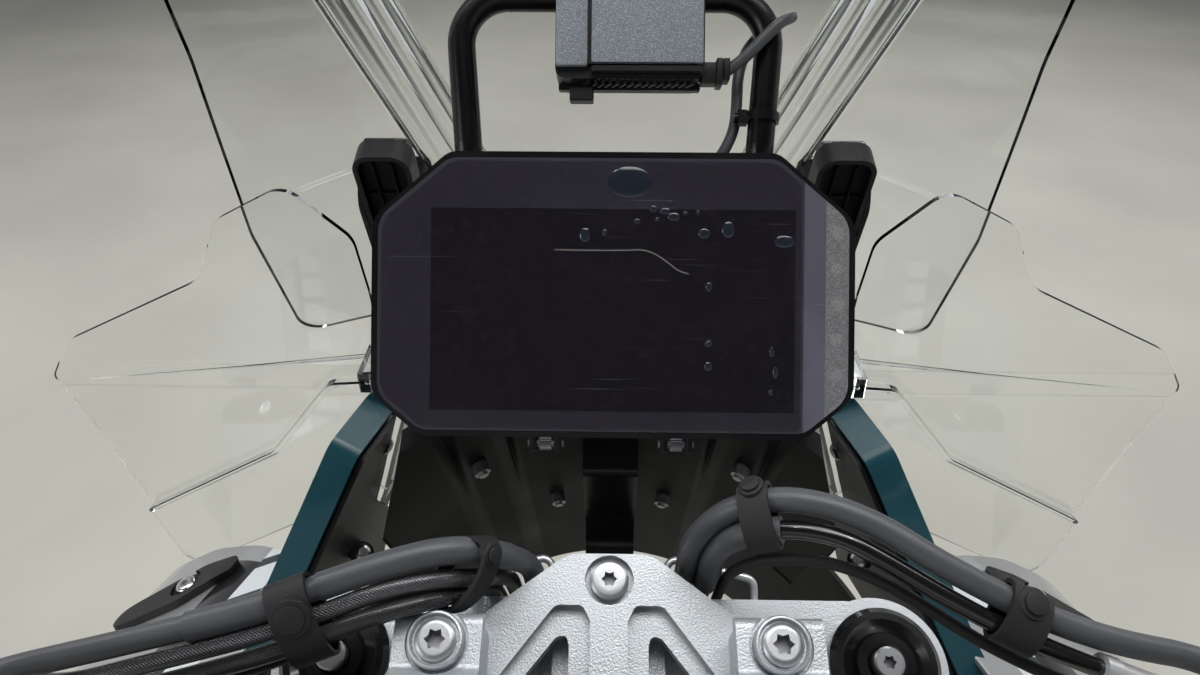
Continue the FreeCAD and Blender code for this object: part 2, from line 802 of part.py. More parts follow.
def deflectors():
    thick = cell("deflector_thick")
    y, z = cell("deflector_y"), cell("deflector_z")
    step, lean, crease_step = 9.0, 0.1, 6.0
    # Side view of the sheet: it leans a little and steps back across the level crease
    profile = [
        (y + step + 0.1 * 188, z - 200, 0),
        (y + step, z - 12, 6),
        (y, z + 12, 6),
        (y - lean * 138, z + 150, 0),
    ]
    upright = Placement(Vector(0, 0, 0), Rotation(0.5, 0.5, 0.5, 0.5))
    facing = Placement(Vector(0, 0, 0), Rotation(Vector(1, 0, 0), 90))

    def band(offset, depth):
        near = [(py + offset, pz, r) for py, pz, r in profile]
        far = [(py + offset + depth, pz, r) for py, pz, r in reversed(profile)]
        solid = outline_face(near + far, upright).extrude(Vector(260, 0, 0))
        solid.translate(Vector(90, 0, 0))
        return solid

    whole = slab(DEFLECTOR, facing, 1000, -900)
    field = slab(FIELD, facing, 1000, -900)
    field_edge = field.cut(slab(inset(FIELD, thick), facing, 1000, -900))
    upper = band(0, thick).cut(field)
    lower = band(-crease_step, thick).common(field)
    wall = band(-crease_step, thick + crease_step).common(field_edge)
    sheet_part = fuse([upper, lower, wall]).common(whole)
    strap_thick = 5.0
    strap_back = -cell("liner_thick") - 2 * cell("seat_gap") - strap_thick
    strap = slab(STRAP, panel_place(), strap_thick, strap_back)
    foot = Part.makeCylinder(7.0, 9, panel_point(110, 24, strap_back + strap_thick), PANEL_OUT * -1)
    bridge = Part.makeBox(32, 40, 12, Vector(98, 200, 141)).common(band(-40, 40 + thick / 2))
    sheet_part = fuse([sheet_part, bridge, strap, foot])
    for name, side in SIDES:
        feature(f"deflector_{name}", mirrored(sheet_part, side))


# Windscreen: a clear sheet with a forward channel between two steps, on two sliding arms
SCREEN = (
    # x outwards, distance up the slope, corner radius
    (0, 62, 0),
    (66, 62, 30),
    (122, 0, 24),
    (204, 0, 16),
    (209, 90, 60),
    (203, 200, 80),
    (204, 270, 60),
    (172, 372, 70),
    (92, 434, 60),
    (0, 440, 0),
)
SCREEN_SECTIONS = (
    # distance up the slope, inner edge of the step, edge of the sheet
    (-20, 40, 212),
    (460, 204, 250),
)
STEP_WIDTH, STEP_DEPTH = 24.0, 30.0


def screen_axes():
    slope = math.radians(cell("screen_slope"))
    up = Vector(0, -math.cos(slope), math.sin(slope))
    out = Vector(0, math.sin(slope), math.cos(slope))
    base = Vector(0, cell("screen_base_y"), cell("screen_base_z"))
    return base, up, out


def screen_point(x, distance, out_by):
    base, up, out = screen_axes()
    return base + Vector(x, 0, 0) + up * distance + out * out_by


def screen_section(distance, inner, edge, lift):
    """The sheet's line across at one height: a raised middle, two steps and two wings."""
    crest = cell("screen_crest")
    shoulder = crest - 8
    wing = shoulder - STEP_DEPTH
    outer = inner + STEP_WIDTH

    def at(x, out_by):
        return screen_point(x, distance, out_by + lift)

    wing_middle = wing * 0.62
    return [
        Part.Arc(at(-edge, 0), at(-(outer + edge) / 2, wing_middle), at(-outer, wing)).toShape(),
        Part.LineSegment(at(-outer, wing), at(-inner, shoulder)).toShape(),
        Part.Arc(at(-inner, shoulder), at(0, crest), at(inner, shoulder)).toShape(),
        Part.LineSegment(at(inner, shoulder), at(outer, wing)).toShape(),
        Part.Arc(at(outer, wing), at((outer + edge) / 2, wing_middle), at(edge, 0)).toShape(),
    ]


def screen_sheet(thick):
    wires = []
    for distance, inner, edge in SCREEN_SECTIONS:
        near = screen_section(distance, inner, edge, 0)
        far = screen_section(distance, inner, edge, thick)
        ends = []
        for side in (-1, 1):
            corner = screen_point(side * edge, distance, 0)
            ends.append(Part.LineSegment(corner, screen_point(side * edge, distance, thick)).toShape())
        wires.append(Part.Wire(Part.sortEdges(near + ends + far)[0]))
    return Part.makeLoft(wires, True, True)


def windscreen():
    base, up, out = screen_axes()
    right_half = list(SCREEN)
    left_half = [(-x, d, r) for x, d, r in reversed(SCREEN[1:-1])]
    reach = 300
    blank = slab(
        right_half + left_half,
        Placement(base, Rotation(Vector(1, 0, 0), up, Vector(1, 0, 0).cross(up), "XYZ")),
        2 * reach,
        -reach,
    )
    sheet_band = screen_sheet(cell("screen_thick"))
    feature("windscreen", sheet_band.common(blank))

    # Arms: hollow hoods behind the sheet that slide on guide posts off the carrier
    wide, deep, wall = cell("arm_width"), cell("arm_depth"), cell("arm_wall")
    post_wide, post_deep = cell("guide_width"), cell("guide_depth")
    play = cell("slide_play")
    arm_low, arm_high, arm_out = 78.0, 158.0, -6.0
    post_low = 34.0
    post_high = 128.0

    def box(half_x, half_out, low, high):
        solid = Part.makeBox(2 * half_x, 2 * half_out, high - low, Vector(-half_x, -half_out, low))
        turn = Rotation(Vector(1, 0, 0), out, up, "XYZ")
        solid.Placement = Placement(screen_point(cell("arm_half"), 0, arm_out), turn)
        return baked(solid)

    profile = [
        # out of the slope, up it, corner radius
        (-deep / 2, arm_low, 4),
        (-deep / 2, arm_high - 14, 12),
        (-deep / 2 + 16, arm_high, 12),
        (deep / 2, arm_high, 8),
        (deep / 2, arm_low, 4),
    ]
    side_view = Rotation(out, up, out.cross(up), "XYZ")
    for name, side in SIDES:
        centre = cell("arm_half")
        arm = slab(profile, Placement(screen_point(centre, 0, arm_out), side_view), wide, -wide / 2)
        arm = arm.cut(box(post_wide / 2 + play, post_deep / 2 + play, arm_low - 5, arm_high - 8))
        # The rider's side is open above the post, and ribbed
        hollow_low, hollow_high = arm_low + 8, arm_high - 12
        hollow_deep = (deep - post_deep) / 2 - wall
        hollow = box(wide / 2 - wall, hollow_deep, hollow_low, hollow_high)
        hollow.translate(out * (-deep / 2))
        arm = arm.cut(hollow)
        ribs = []
        rib_count, rib_sunk = 5, 2.0
        rib_deep = (hollow_deep - rib_sunk + 0.5) / 2
        for step in range(1, rib_count + 1):
            height = hollow_low + step * (hollow_high - hollow_low) / (rib_count + 1)
            rib = box(wide / 2 - wall / 2, rib_deep, height - 0.8, height + 0.8)
            rib.translate(out * (-deep / 2 + rib_sunk + rib_deep))
            ribs.append(rib)
        arm = fuse([arm] + ribs)
        stand_off = Part.makeCylinder(9, 60, screen_point(centre - 2, 112, arm_out + deep / 2 - 2), out)
        above = screen_sheet(80)
        stand_off = stand_off.cut(above)
        arm = fuse([arm, stand_off])
        feature(f"screen_arm_{name}", mirrored(arm, side))

        post = box(post_wide / 2, post_deep / 2, post_low, post_high)
        foot = box(post_wide / 2 + 3, post_deep / 2 + 3, post_low - 8, post_low + 14)
        rail_end = Vector(cell("rail_half") - 8, cell("rail_y"), cell("rail_z"))
        corner = screen_point(centre, post_low, arm_out)
        strut = [
            # forwards, up, corner radius
            (rail_end.y - 9, rail_end.z + 13, 5),
            (rail_end.y - 9, rail_end.z - 2, 5),
            (corner.y - 4, corner.z - 8, 10),
            (corner.y + 8, corner.z - 4, 4),
            (corner.y + 5, corner.z + 12, 4),
        ]
        upright = Rotation(0.5, 0.5, 0.5, 0.5)
        strut = slab(strut, Placement(Vector(cell("rail_half") - 14, 0, 0), upright), 15)
        cross = [
            (corner.y - 14, corner.z - 8, 3),
            (corner.y + 7, corner.z - 5, 3),
            (corner.y + 5, corner.z + 11, 3),
            (corner.y - 12, corner.z + 12, 3),
        ]
        strut_at = cell("rail_half") - 14
        cross = slab(cross, Placement(Vector(strut_at, 0, 0), upright), centre - strut_at)
        guide = fuse([post, foot, strut, cross])
        rail = rod((-150, rail_end.y, rail_end.z), (150, rail_end.y, rail_end.z), cell("rail_radius"))
        guide = guide.cut(rail).cut(stay(cell("stay_radius") + cell("seat_gap")))
        feature(f"screen_guide_{name}", mirrored(guide, side))


# Steered pieces, drawn in the head's axes
def fork_bridge():
    low, high = cell("bridge_low"), cell("bridge_high")
    half, offset = cell("fork_half"), cell("fork_offset")
    ring = cell("bridge_ring")
    nose = cell("nose_n")
    thick = high - low
    piece = Piece("fork_bridge")
    plan = [
        # x across, n forwards, corner radius
        (-half, offset + ring - 1, 10),
        (-26, offset + ring - 1, 14),
        (-16, nose + 9, 8),
        (16, nose + 9, 8),
        (26, offset + ring - 1, 14),
        (half, offset + ring - 1, 10),
        (half, offset - ring + 3, 10),
        (42, -30, 22),
        (-42, -30, 22),
        (-half, offset - ring + 3, 10),
    ]
    piece.pad(piece.sketch(rounded(plan), "XY_Plane", low), thick)
    for _, side in SIDES:
        sketch = piece.circle(side * half, offset, "bridge_ring", "XY_Plane", low - 3)
        piece.pad(sketch, thick + 5)
    boss = piece.sketch([Part.Circle(Vector(0, nose, 0), Vector(0, 0, 1), 9)], "XY_Plane", low)
    piece.pad(boss, "sizes.riser_low - sizes.bridge_low")
    for _, side in SIDES:
        post = Part.Circle(Vector(side * cell("clamp_half"), cell("bar_n"), 0), Vector(0, 0, 1), 13)
        piece.pad(piece.sketch([post], "XY_Plane", low), "sizes.riser_low - sizes.bridge_low")
    for _, side in SIDES:
        piece.pocket(piece.circle(side * half, offset, "fork_radius", "XY_Plane", high + 10), thick + 40)
    for _, side in SIDES:
        window = [
            (side * 22, 12, 6),
            (side * 44, 20, 6),
            (side * 68, 34, 6),
            (side * 66, 44, 6),
            (side * 22, 44, 6),
        ]
        piece.pocket(piece.sketch(rounded(window), "XY_Plane", high + 1), 14)
    piece.pocket(piece.circle(0, 0, "stem_radius", "XY_Plane", high + 10), thick + 40)
    piece.done(place_at_head)
    in_own_axes = piece.body.Shape.copy()
    in_own_axes.Placement = Placement()
    hose_guides(in_own_axes)


def forks():
    half, offset = cell("fork_half"), cell("fork_offset")
    radius, wall = cell("fork_radius"), cell("fork_wall")
    low, high = -cell("fork_drop"), cell("bridge_high") + cell("cap_stand")
    for name, side in SIDES:
        leg = Piece(f"fork_tube_{name}")
        shoulder = low + cell("spigot_length")
        leg.pad(leg.circle(side * half, offset, "spigot_radius", "XY_Plane", low), "spigot_length")
        leg.pad(leg.circle(side * half, offset, "fork_radius", "XY_Plane", shoulder), high - shoulder)
        hole = Part.Circle(Vector(side * half, offset, 0), Vector(0, 0, 1), radius - wall)
        leg.pocket(leg.sketch([hole], "XY_Plane", high), high - low)
        leg.done(place_at_head)

        # Cap: a turned disc with a dished face round a raised boss and its screw
        rise = cell("cap_rise")
        inner = radius - wall
        turned = [
            # radius, height, corner radius
            (0, high - 14, 0),
            (inner, high - 14, 0),
            (inner, high, 0),
            (radius + 0.5, high, 0),
            (radius + 0.5, high + rise - 2, 0),
            (radius - 1.5, high + rise, 0),
            (radius - 4.0, high + rise, 0),
            (12.0, high + 2, 0),
            (11.0, high + rise + 0.5, 0),
            (7.5, high + rise + 0.5, 0),
            (5.6, high + rise - 1.5, 0),
            (5.6, high + rise + 2.5, 0),
            (4.8, high + rise + 3.5, 0),
            (3.2, high + rise + 3.5, 0),
            (3.2, high + rise + 0.5, 0),
            (0, high + rise + 0.5, 0),
        ]
        cap = outline_face(turned, Placement(Vector(0, 0, 0), Rotation(Vector(1, 0, 0), 90)))
        cap = cap.revolve(Vector(0, 0, 0), Vector(0, 0, 1), 360)
        cap.translate(Vector(side * half, offset, 0))
        feature(f"fork_cap_{name}", cap, HEAD)

    stem = Piece("steering_stem")
    low, high = cell("head_low") - 16, cell("bridge_high") + 5
    stem.pad(stem.circle(0, 0, "stem_radius", "XY_Plane", low), high - low)
    for end, thick in ((cell("head_low") - 12, 11.7), (cell("bridge_high"), 5)):
        nut = [(20 * math.cos(k * math.pi / 3), 20 * math.sin(k * math.pi / 3), 1) for k in range(6)]
        stem.pad(stem.sketch(rounded(nut), "XY_Plane", end), thick)
    stem.done(place_at_head)


# Riser bridge: a nose bolt in front, two bosses for the handlebar and a rib between windows
def riser_bridge():
    low, top = cell("riser_low"), cell("riser_high")
    half, bar_n, bar_u = cell("clamp_half"), cell("bar_n"), cell("bar_u")
    wide, pitch = cell("clamp_width"), cell("clamp_pitch")
    nose = cell("nose_n")
    front, rear = bar_n + pitch / 2 + 10, bar_n - pitch / 2 - 10
    inner, outer = half - wide / 2, half + wide / 2
    piece = Piece("riser_bridge")
    plan = [
        # x across, n forwards, corner radius
        (outer, rear, 6),
        (outer, front, 6),
        (half - 8, front, 6),
        (16, nose + 10, 16),
        (-16, nose + 10, 16),
        (-half + 8, front, 6),
        (-outer, front, 6),
        (-outer, rear, 6),
        (-inner, rear, 6),
        (-inner, bar_n - 12, 8),
        (inner, bar_n - 12, 8),
        (inner, rear, 6),
    ]
    piece.pad(piece.sketch(rounded(plan), "XY_Plane", low), "sizes.riser_high - sizes.riser_low")
    for _, side in SIDES:
        block = [
            (side * inner, rear, 6),
            (side * inner, front, 6),
            (side * outer, front, 6),
            (side * outer, rear, 6),
        ]
        piece.pad(piece.sketch(rounded(block), "XY_Plane", top), "sizes.bar_u - sizes.riser_high")
    spine_half, floor_deep = 7.0, 5.0
    for _, side in SIDES:
        trough = [
            (side * spine_half, 18, 2),
            (side * (inner - 1), 18, 3),
            (side * 20.5, 48, 4),
            (side * 10, 48, 3),
            (side * spine_half, 42, 3),
        ]
        piece.pocket(piece.sketch(rounded(trough), "XY_Plane", top), floor_deep)
        window = [
            (side * 15, 21, 2),
            (side * 33, 21, 2),
            (side * 20, 37, 3),
            (side * 16, 38, 2),
            (side * 15, 34, 2),
        ]
        piece.pocket(piece.sketch(rounded(window), "XY_Plane", top), "sizes.riser_high - sizes.riser_low")
    ring = Part.Circle(Vector(bar_n, bar_u, 0), Vector(0, 0, 1), cell("bar_clamp_radius"))
    piece.pocket(piece.sketch([ring], "YZ_Plane"), 2 * outer + 10, both_ways=True)
    piece.pocket(piece.sketch([Part.Circle(Vector(0, nose, 0), Vector(0, 0, 1), 9.4)], "XY_Plane", top), 4.0)
    bolt = piece.sketch([Part.Circle(Vector(0, nose, 0), Vector(0, 0, 1), 7.4)], "XY_Plane", top - 4)
    piece.pad(bolt, 4.5)
    socket = piece.sketch([Part.Circle(Vector(0, nose, 0), Vector(0, 0, 1), 3.6)], "XY_Plane", top + 0.5)
    piece.pocket(socket, 3.5)
    piece.done(place_at_head)

    # Clamp caps: the handlebar's upper halves, one over each boss, with their bolts
    seam = 0.4
    for name, side in SIDES:
        side_view = [
            # n forwards, u up, corner radius
            (rear, bar_u + seam, 2),
            (front, bar_u + seam, 2),
            (front, bar_u + 8, 4),
            (bar_n + 18, bar_u + 8, 3),
            (bar_n + 8, bar_u + 22, 6),
            (bar_n - 8, bar_u + 22, 6),
            (bar_n - 18, bar_u + 8, 3),
            (rear, bar_u + 8, 4),
        ]
        cap = Piece(f"clamp_cap_{name}")
        sketch = cap.sketch(rounded(side_view), "YZ_Plane", side * half)
        cap.pad(sketch, "clamp_width", both_ways=True)
        cap.pocket(cap.sketch([ring], "YZ_Plane"), 2 * outer + 10, both_ways=True)
        for n in (bar_n - pitch / 2, bar_n + pitch / 2):
            centre = Vector(side * half, n, 0)
            seat = cap.sketch([Part.Circle(centre, Vector(0, 0, 1), 11.2)], "XY_Plane", bar_u + 30)
            cap.pocket(seat, 24.5)
            head = cap.sketch([Part.Circle(centre, Vector(0, 0, 1), 9.4)], "XY_Plane", bar_u + 5.5)
            cap.pad(head, 4.5)
            drive = cap.sketch([Part.Circle(centre, Vector(0, 0, 1), 5.0)], "XY_Plane", bar_u + 10)
            cap.pocket(drive, 3.5)
        cap.done(place_at_head)


# Handlebar: one bent tube, thick between the clamps and thin at the grips
BAR_BENDS = (
    # x across, n forwards, u up
    (100, 4, 102),
    (185, 0, 147),
    (245.7, -24.9, 172.9),
)
BAR_END = (425, -92, 196)


def bar_tube(radius, bore=0.0):
    right = list(BAR_BENDS) + [BAR_END]
    left = [(-x, n, u) for x, n, u in reversed(right)]
    return tube(left + right, radius, bore, share=0.25)


def handlebar():
    bar_n, bar_u = cell("bar_n"), cell("bar_u")
    radius, thick_radius = cell("bar_radius"), cell("bar_clamp_radius")
    half_sleeve, taper = 86.0, 8.0
    sleeve = rod((-half_sleeve, bar_n, bar_u), (half_sleeve, bar_n, bar_u), thick_radius)
    cones = []
    for side in (-1, 1):
        foot = Vector(side * half_sleeve, bar_n, bar_u)
        cones.append(Part.makeCone(thick_radius, radius, taper, foot, Vector(side, 0, 0)))
    half_core = half_sleeve + taper
    core = rod((-half_core, bar_n, bar_u), (half_core, bar_n, bar_u), radius - 0.5)
    outer = fuse([sleeve] + cones).cut(core)
    whole = fuse([bar_tube(radius, radius - cell("bar_wall")), outer])
    feature("handlebar", whole, HEAD)
    controls()


LEVER = (
    # X outwards along the bar, Y forwards, corner radius
    (40, 31, 4),
    (56, 31, 4),
    (82, 37, 20),
    (128, 30, 40),
    (166, 24, 8),
    (176, 30, 5),
    (168, 37, 6),
    (124, 44, 40),
    (80, 50, 20),
    (58, 45, 5),
    (42, 43, 4),
)


# Controls, drawn in the bar's own axes: X outwards along it, Y forwards and Z up.
# Their lengths start where the bar runs straight, past its outer bend.
BAR_STRAIGHT = 17.5
CONTROL_LENGTHS = (
    # name, start and end along the straight of the bar
    ("clamp", 5.0, 25.0),
    ("switch", 27.0, 51.0),
    ("grip", 52.0, 52.0 + cell("grip_length")),
)


def controls():
    bend, end = Vector(*BAR_BENDS[-1]), Vector(*BAR_END)
    along = (end - bend).normalize()
    start = bend + along * BAR_STRAIGHT
    length = (end - start).Length
    ahead = Vector(0, 0, 1).cross(along).normalize()
    at_bar = Placement(start, Rotation(along, ahead, along.cross(ahead), "XYZ"))
    spans = {name: (low, high) for name, low, high in CONTROL_LENGTHS}
    radius, gap = cell("bar_radius"), cell("bar_fit")
    bar = Part.makeCylinder(radius + gap, 2 * length, Vector(0, 0, 0), Vector(1, 0, 0))

    def collar(size, low, high, wide=Vector(1, 0, 0)):
        return Part.makeCylinder(size, high - low, Vector(low, 0, 0), wide)

    def block(low, high, corners):
        """A rounded outline of Y and Z, drawn along the bar from low to high."""
        face = outline_face(corners, Placement(Vector(low, 0, 0), Rotation(0.5, 0.5, 0.5, 0.5)))
        return face.extrude(Vector(high - low, 0, 0))

    grip_low, grip_high = spans["grip"]
    clamp_low, clamp_high = spans["clamp"]
    pod_low, pod_high = spans["switch"]
    for name, side in SIDES:
        kind = "clutch" if side < 0 else "brake"

        def place(label, shape):
            shape = baked(placed(shape, at_bar))
            feature(label, mirrored(shape, side), HEAD)

        grip = collar(cell("grip_radius"), grip_low, grip_high)
        rings = [collar(cell("grip_radius") + 3.5, grip_low, grip_low + 5)]
        rings.append(collar(cell("grip_radius") + 1.5, grip_high - 6, grip_high))
        place(f"grip_{name}", fuse([grip] + rings).cut(bar))
        weight = [
            # radius, along the bar, corner radius
            (0, length, 0),
            (17, length, 1),
            (17, length + 14, 3),
            (12, length + 20, 3),
            (0, length + 20, 0),
        ]
        weight = outline_face(weight, Placement(Vector(0, 0, 0), Rotation(Vector(1, 1, 0), 180)))
        place(f"bar_end_{name}", weight.revolve(Vector(0, 0, 0), Vector(1, 0, 0), 360))

        pod = block(pod_low, pod_high, [(-21, -26, 8), (19, -26, 8), (19, 19, 9), (-21, 19, 10)])
        keys = block(pod_low + 3, pod_high - 3, [(-25, -14, 2), (-18, -14, 0), (-18, 5, 0), (-25, 5, 2)])
        place(f"switch_pod_{name}", fuse([pod, keys]).cut(bar))

        # The cylinder lies ahead of the bar, its reservoir on top and its fitting inboard
        ring = collar(17, clamp_low, clamp_high)
        web = block(clamp_low, clamp_high, [(8, -9, 2), (34, -8, 4), (34, 10, 4), (8, 12, 2)])
        barrel = Part.makeCylinder(11, 62, Vector(-16, 30, 3), Vector(1, 0, 0))
        tank_side = [(-10, 19, 6), (34, 19, 6), (34, 47, 6), (-10, 47, 6)]
        tank = slab(tank_side, Placement(), 24, 10)
        lid_side = [(-11.5, 17.5, 7), (35.5, 17.5, 7), (35.5, 48.5, 7), (-11.5, 48.5, 7)]
        lid = slab(lid_side, Placement(), 4, 34)
        banjo = Part.makeCylinder(7.5, 6, Vector(-22, 30, 3), Vector(1, 0, 0))
        turns = [k * math.pi / 3 for k in range(6)]
        hexagon = [(5.5 * math.cos(turn), 5.5 * math.sin(turn), 0.5) for turn in turns]
        bolt = slab(hexagon, Placement(Vector(-26, 30, 3), Rotation(Vector(0, 1, 0), 90)), 5)
        lug = [(38, 26, 5), (58, 26, 8), (58, 46, 8), (38, 46, 5)]
        lugs = [slab(lug, Placement(), 4, bottom) for bottom in (-4.0, 6.4)]
        cylinder = fuse([ring, web, barrel, tank, lid, banjo, bolt] + lugs).cut(bar)
        lever_room = slab([(37, 20, 1), (70, 20, 1), (70, 60, 1), (37, 60, 1)], Placement(), 6.4, 0)
        lever_room = lever_room.common(Part.makeCylinder(13, 40, Vector(49, 37, -20)))
        place(f"{kind}_cylinder", cylinder.cut(lever_room))

        blade = slab(LEVER, Placement(), 5.8, 0.3)
        bead = Part.makeCylinder(7.5, 9, Vector(169, 30, -1.3))
        place(f"{kind}_lever", fuse([blade, bead]))


# Hoses and looms over the fork caps, held by clips, down to the wire guides on the bridge.
# Each ends where the rest of the motorcycle would carry on with it.
RUNS = (
    # name, radius, points chosen by hand: X across, Y forwards, Z up
    (
        "left_loom",
        "loom_radius",
        ((-292.5, -33.8, 176.8), (-261, -20.6, 178), (-236, 10, 160), (-210.5, 32.5, 151.5),
         (-183, 34, 159.5), (-159.5, 37.5, 164), (-138, 41.5, 167.5), (-118, 45, 172),
         (-98, 52, 175.5), (-76.5, 58.5, 179.5), (-55, 64.5, 180.8), (-37, 73, 166.5), (-31, 85, 147),
         (-31, 95, 123), (-31, 101, 106)),
    ),
    (
        "clutch_hose",
        "hose_radius",
        ((-253.5, -4.5, 199), (-249, 14, 179), (-237, 31, 158.5), (-220, 38, 145.5),
         (-200.5, 33, 143.5), (-181, 28.5, 152), (-161.5, 31.5, 156.5), (-140.5, 35, 160.8),
         (-120.5, 38.5, 164.8), (-100, 45, 168.3), (-79.5, 51.5, 173), (-60, 57.2, 173),
         (-46, 66.5, 162), (-39.5, 81, 145.5), (-39.5, 93, 122), (-39.5, 99.5, 106)),
    ),
    (
        "left_cables",
        "hose_radius",
        ((-289.5, -41, 170.2), (-257.7, -28.4, 171.7), (-233, 0, 152), (-207, 19.5, 143),
         (-181, 24.5, 146), (-158.5, 28, 150), (-137, 32, 154), (-115, 35.5, 159.5), (-97, 40.5, 164),
         (-78.5, 45.5, 168.5), (-61, 52, 168), (-51, 66, 155.5), (-46.5, 81, 140), (-46.5, 93, 117),
         (-46.5, 99, 103)),
    ),
    (
        "left_cables",
        "lead_radius",
        ((-286.4, -47.6, 167.6), (-254.9, -35.2, 169), (-229, -6, 145), (-201.5, 13, 136.5),
         (-175, 21.5, 138.5), (-155.5, 28, 142.5), (-136, 34, 147), (-117, 38, 151.5),
         (-98, 44, 156.5), (-80.5, 51, 164.5), (-66, 57, 163), (-57, 71, 151), (-53, 84, 135),
         (-53, 95, 113), (-53, 100, 102)),
    ),
    (
        "right_loom",
        "loom_radius",
        ((292.5, -33.8, 176.8), (261, -20.6, 178), (236, 12, 161), (204, 41, 157), (172.5, 38, 168),
         (147.5, 41.5, 175), (126.5, 47, 183.5), (108, 54, 190.5), (92, 63.5, 196), (75, 70, 199),
         (58, 75, 197), (41, 76.5, 188.5), (31, 79, 170), (31, 87, 147), (31, 96, 123),
         (31, 102, 106)),
    ),
    (
        "brake_hose",
        "hose_radius",
        ((253.5, -4.5, 199), (249, 14, 178), (238, 33, 158), (222, 39, 144), (200, 33, 144.5),
         (176.5, 30.5, 158), (148.5, 35, 167.5), (127.5, 40, 175.5), (109, 46.5, 183),
         (93.5, 55, 188), (78, 62, 192.5), (61, 66.5, 191), (45, 70, 183), (39.5, 77, 166),
         (39.5, 85, 144), (39.5, 95, 120), (39.5, 101, 104)),
    ),
    (
        "right_cables",
        "cable_radius",
        ((289.5, -41, 170.2), (257.7, -28.4, 171.7), (233, -2, 152), (205.5, 18, 144),
         (178, 25, 149.5), (159, 31, 153.5), (141, 36, 159), (122.5, 41.5, 166.5), (105.5, 49, 174.5),
         (89, 56.5, 179.5), (71.5, 62, 180.5), (56, 66, 175), (48, 72, 163), (46.5, 83, 144),
         (46.5, 94, 121), (46.5, 100, 105)),
    ),
)
# Clips: what each holds, and the point of that run, from its outer end, after which it sits
CLIPS = (
    ("left", (("left_loom", 7), ("clutch_hose", 8), ("left_cables", 7))),
    ("right", (("right_loom", 5), ("brake_hose", 6))),
)


def hoses():
    strands = {}
    for name, radius, points in RUNS:
        solid = tube(points, cell(radius))
        strands.setdefault(name, []).append(solid)
        check_length(name, solid, points, cell(radius))
    for name, solids in strands.items():
        feature(name, solids[0] if len(solids) == 1 else Part.makeCompound(solids))

    clip_length, clip_wall, gap = 12.0, 2.0, cell("seat_gap")
    for side, held in CLIPS:
        shells, holes = [], []
        for name, index in held:
            radius, points = next((cell(r), p) for n, r, p in RUNS if n == name)
            start, end = Vector(*points[index]), Vector(*points[index + 1])
            way = (end - start).normalize()
            middle = (start + end) / 2
            reach = way * clip_length / 2
            shells.append(rod(middle - reach, middle + reach, radius + clip_wall))
            holes.append(rod(middle - reach * 3, middle + reach * 3, radius + gap))
        clip = fuse(shells)
        for hole in holes:
            clip = clip.cut(hole)
        feature(f"hose_clip_{side}", clip)


def check_length(name, solid, points, radius):
    """Print the run's length, as its volume over its section, beside its points' own."""
    straight = sum((Vector(*b) - Vector(*a)).Length for a, b in zip(points, points[1:]))
    print(f"{name}: {solid.Volume / (math.pi * radius ** 2):.0f} mm long, {straight:.0f} mm point to point")


# Wire guides: a bent wire on the front of the fork bridge, round the hoses on each side
def hose_guides(bridge):
    wire_radius, bend = 1.6, 4.0
    front = cell("fork_offset") + cell("bridge_ring") - 1
    for name, side in SIDES:
        wire = tube(
            [(-60, front - 3, 60), (-60, front + 9.5, 64), (-24, front + 18, 64), (-24, front - 1, 60)],
            wire_radius,
            bend=bend,
        )
        wire = wire.cut(bridge)
        keep_solid = max(wire.Solids, key=lambda item: item.Volume)
        feature(f"hose_guide_{name}", mirrored(keep_solid, -side), HEAD)


def check(item):
    if any(word in item.State for word in ("Invalid", "Error")):
        raise RuntimeError(f"{item.Label} failed: {item.State}")
    shape = item.Shape
    if shape.isNull() or not shape.isValid() or not shape.Solids:
        raise RuntimeError(f"{item.Label} has no valid solid")


def main():
    steering_head()
    front_spine()
    carrier()
    inner_cover()
    display()
    nav_unit()
    side_panels()
    side_flanks()
    deflectors()
    windscreen()
    fork_bridge()
    forks()
    riser_bridge()
    handlebar()
    hoses()
    doc.recompute()
    for item in doc.Objects:
        if any(word in item.State for word in ("Invalid", "Error")):
            raise RuntimeError(f"{item.Label} failed: {item.State}")
    os.makedirs("parts", exist_ok=True)
    for item in SUBPARTS:
        check(item)
        item.Shape.exportStep(f"parts/{item.Label}.step")
        print(f"{item.Label:22s} {len(item.Shape.Solids)} solid(s) {item.Shape.Volume / 1000:9.1f} cm3")


main()
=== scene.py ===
# %% [markdown]
# # The cockpit of an adventure motorcycle
# The solids come from the CAD model and stay where they are. This lesson gives them
# their finishes, adds the small pieces that only the eye needs, and lights them.

import math

import bmesh
import bpy
from mathutils import Matrix, Vector


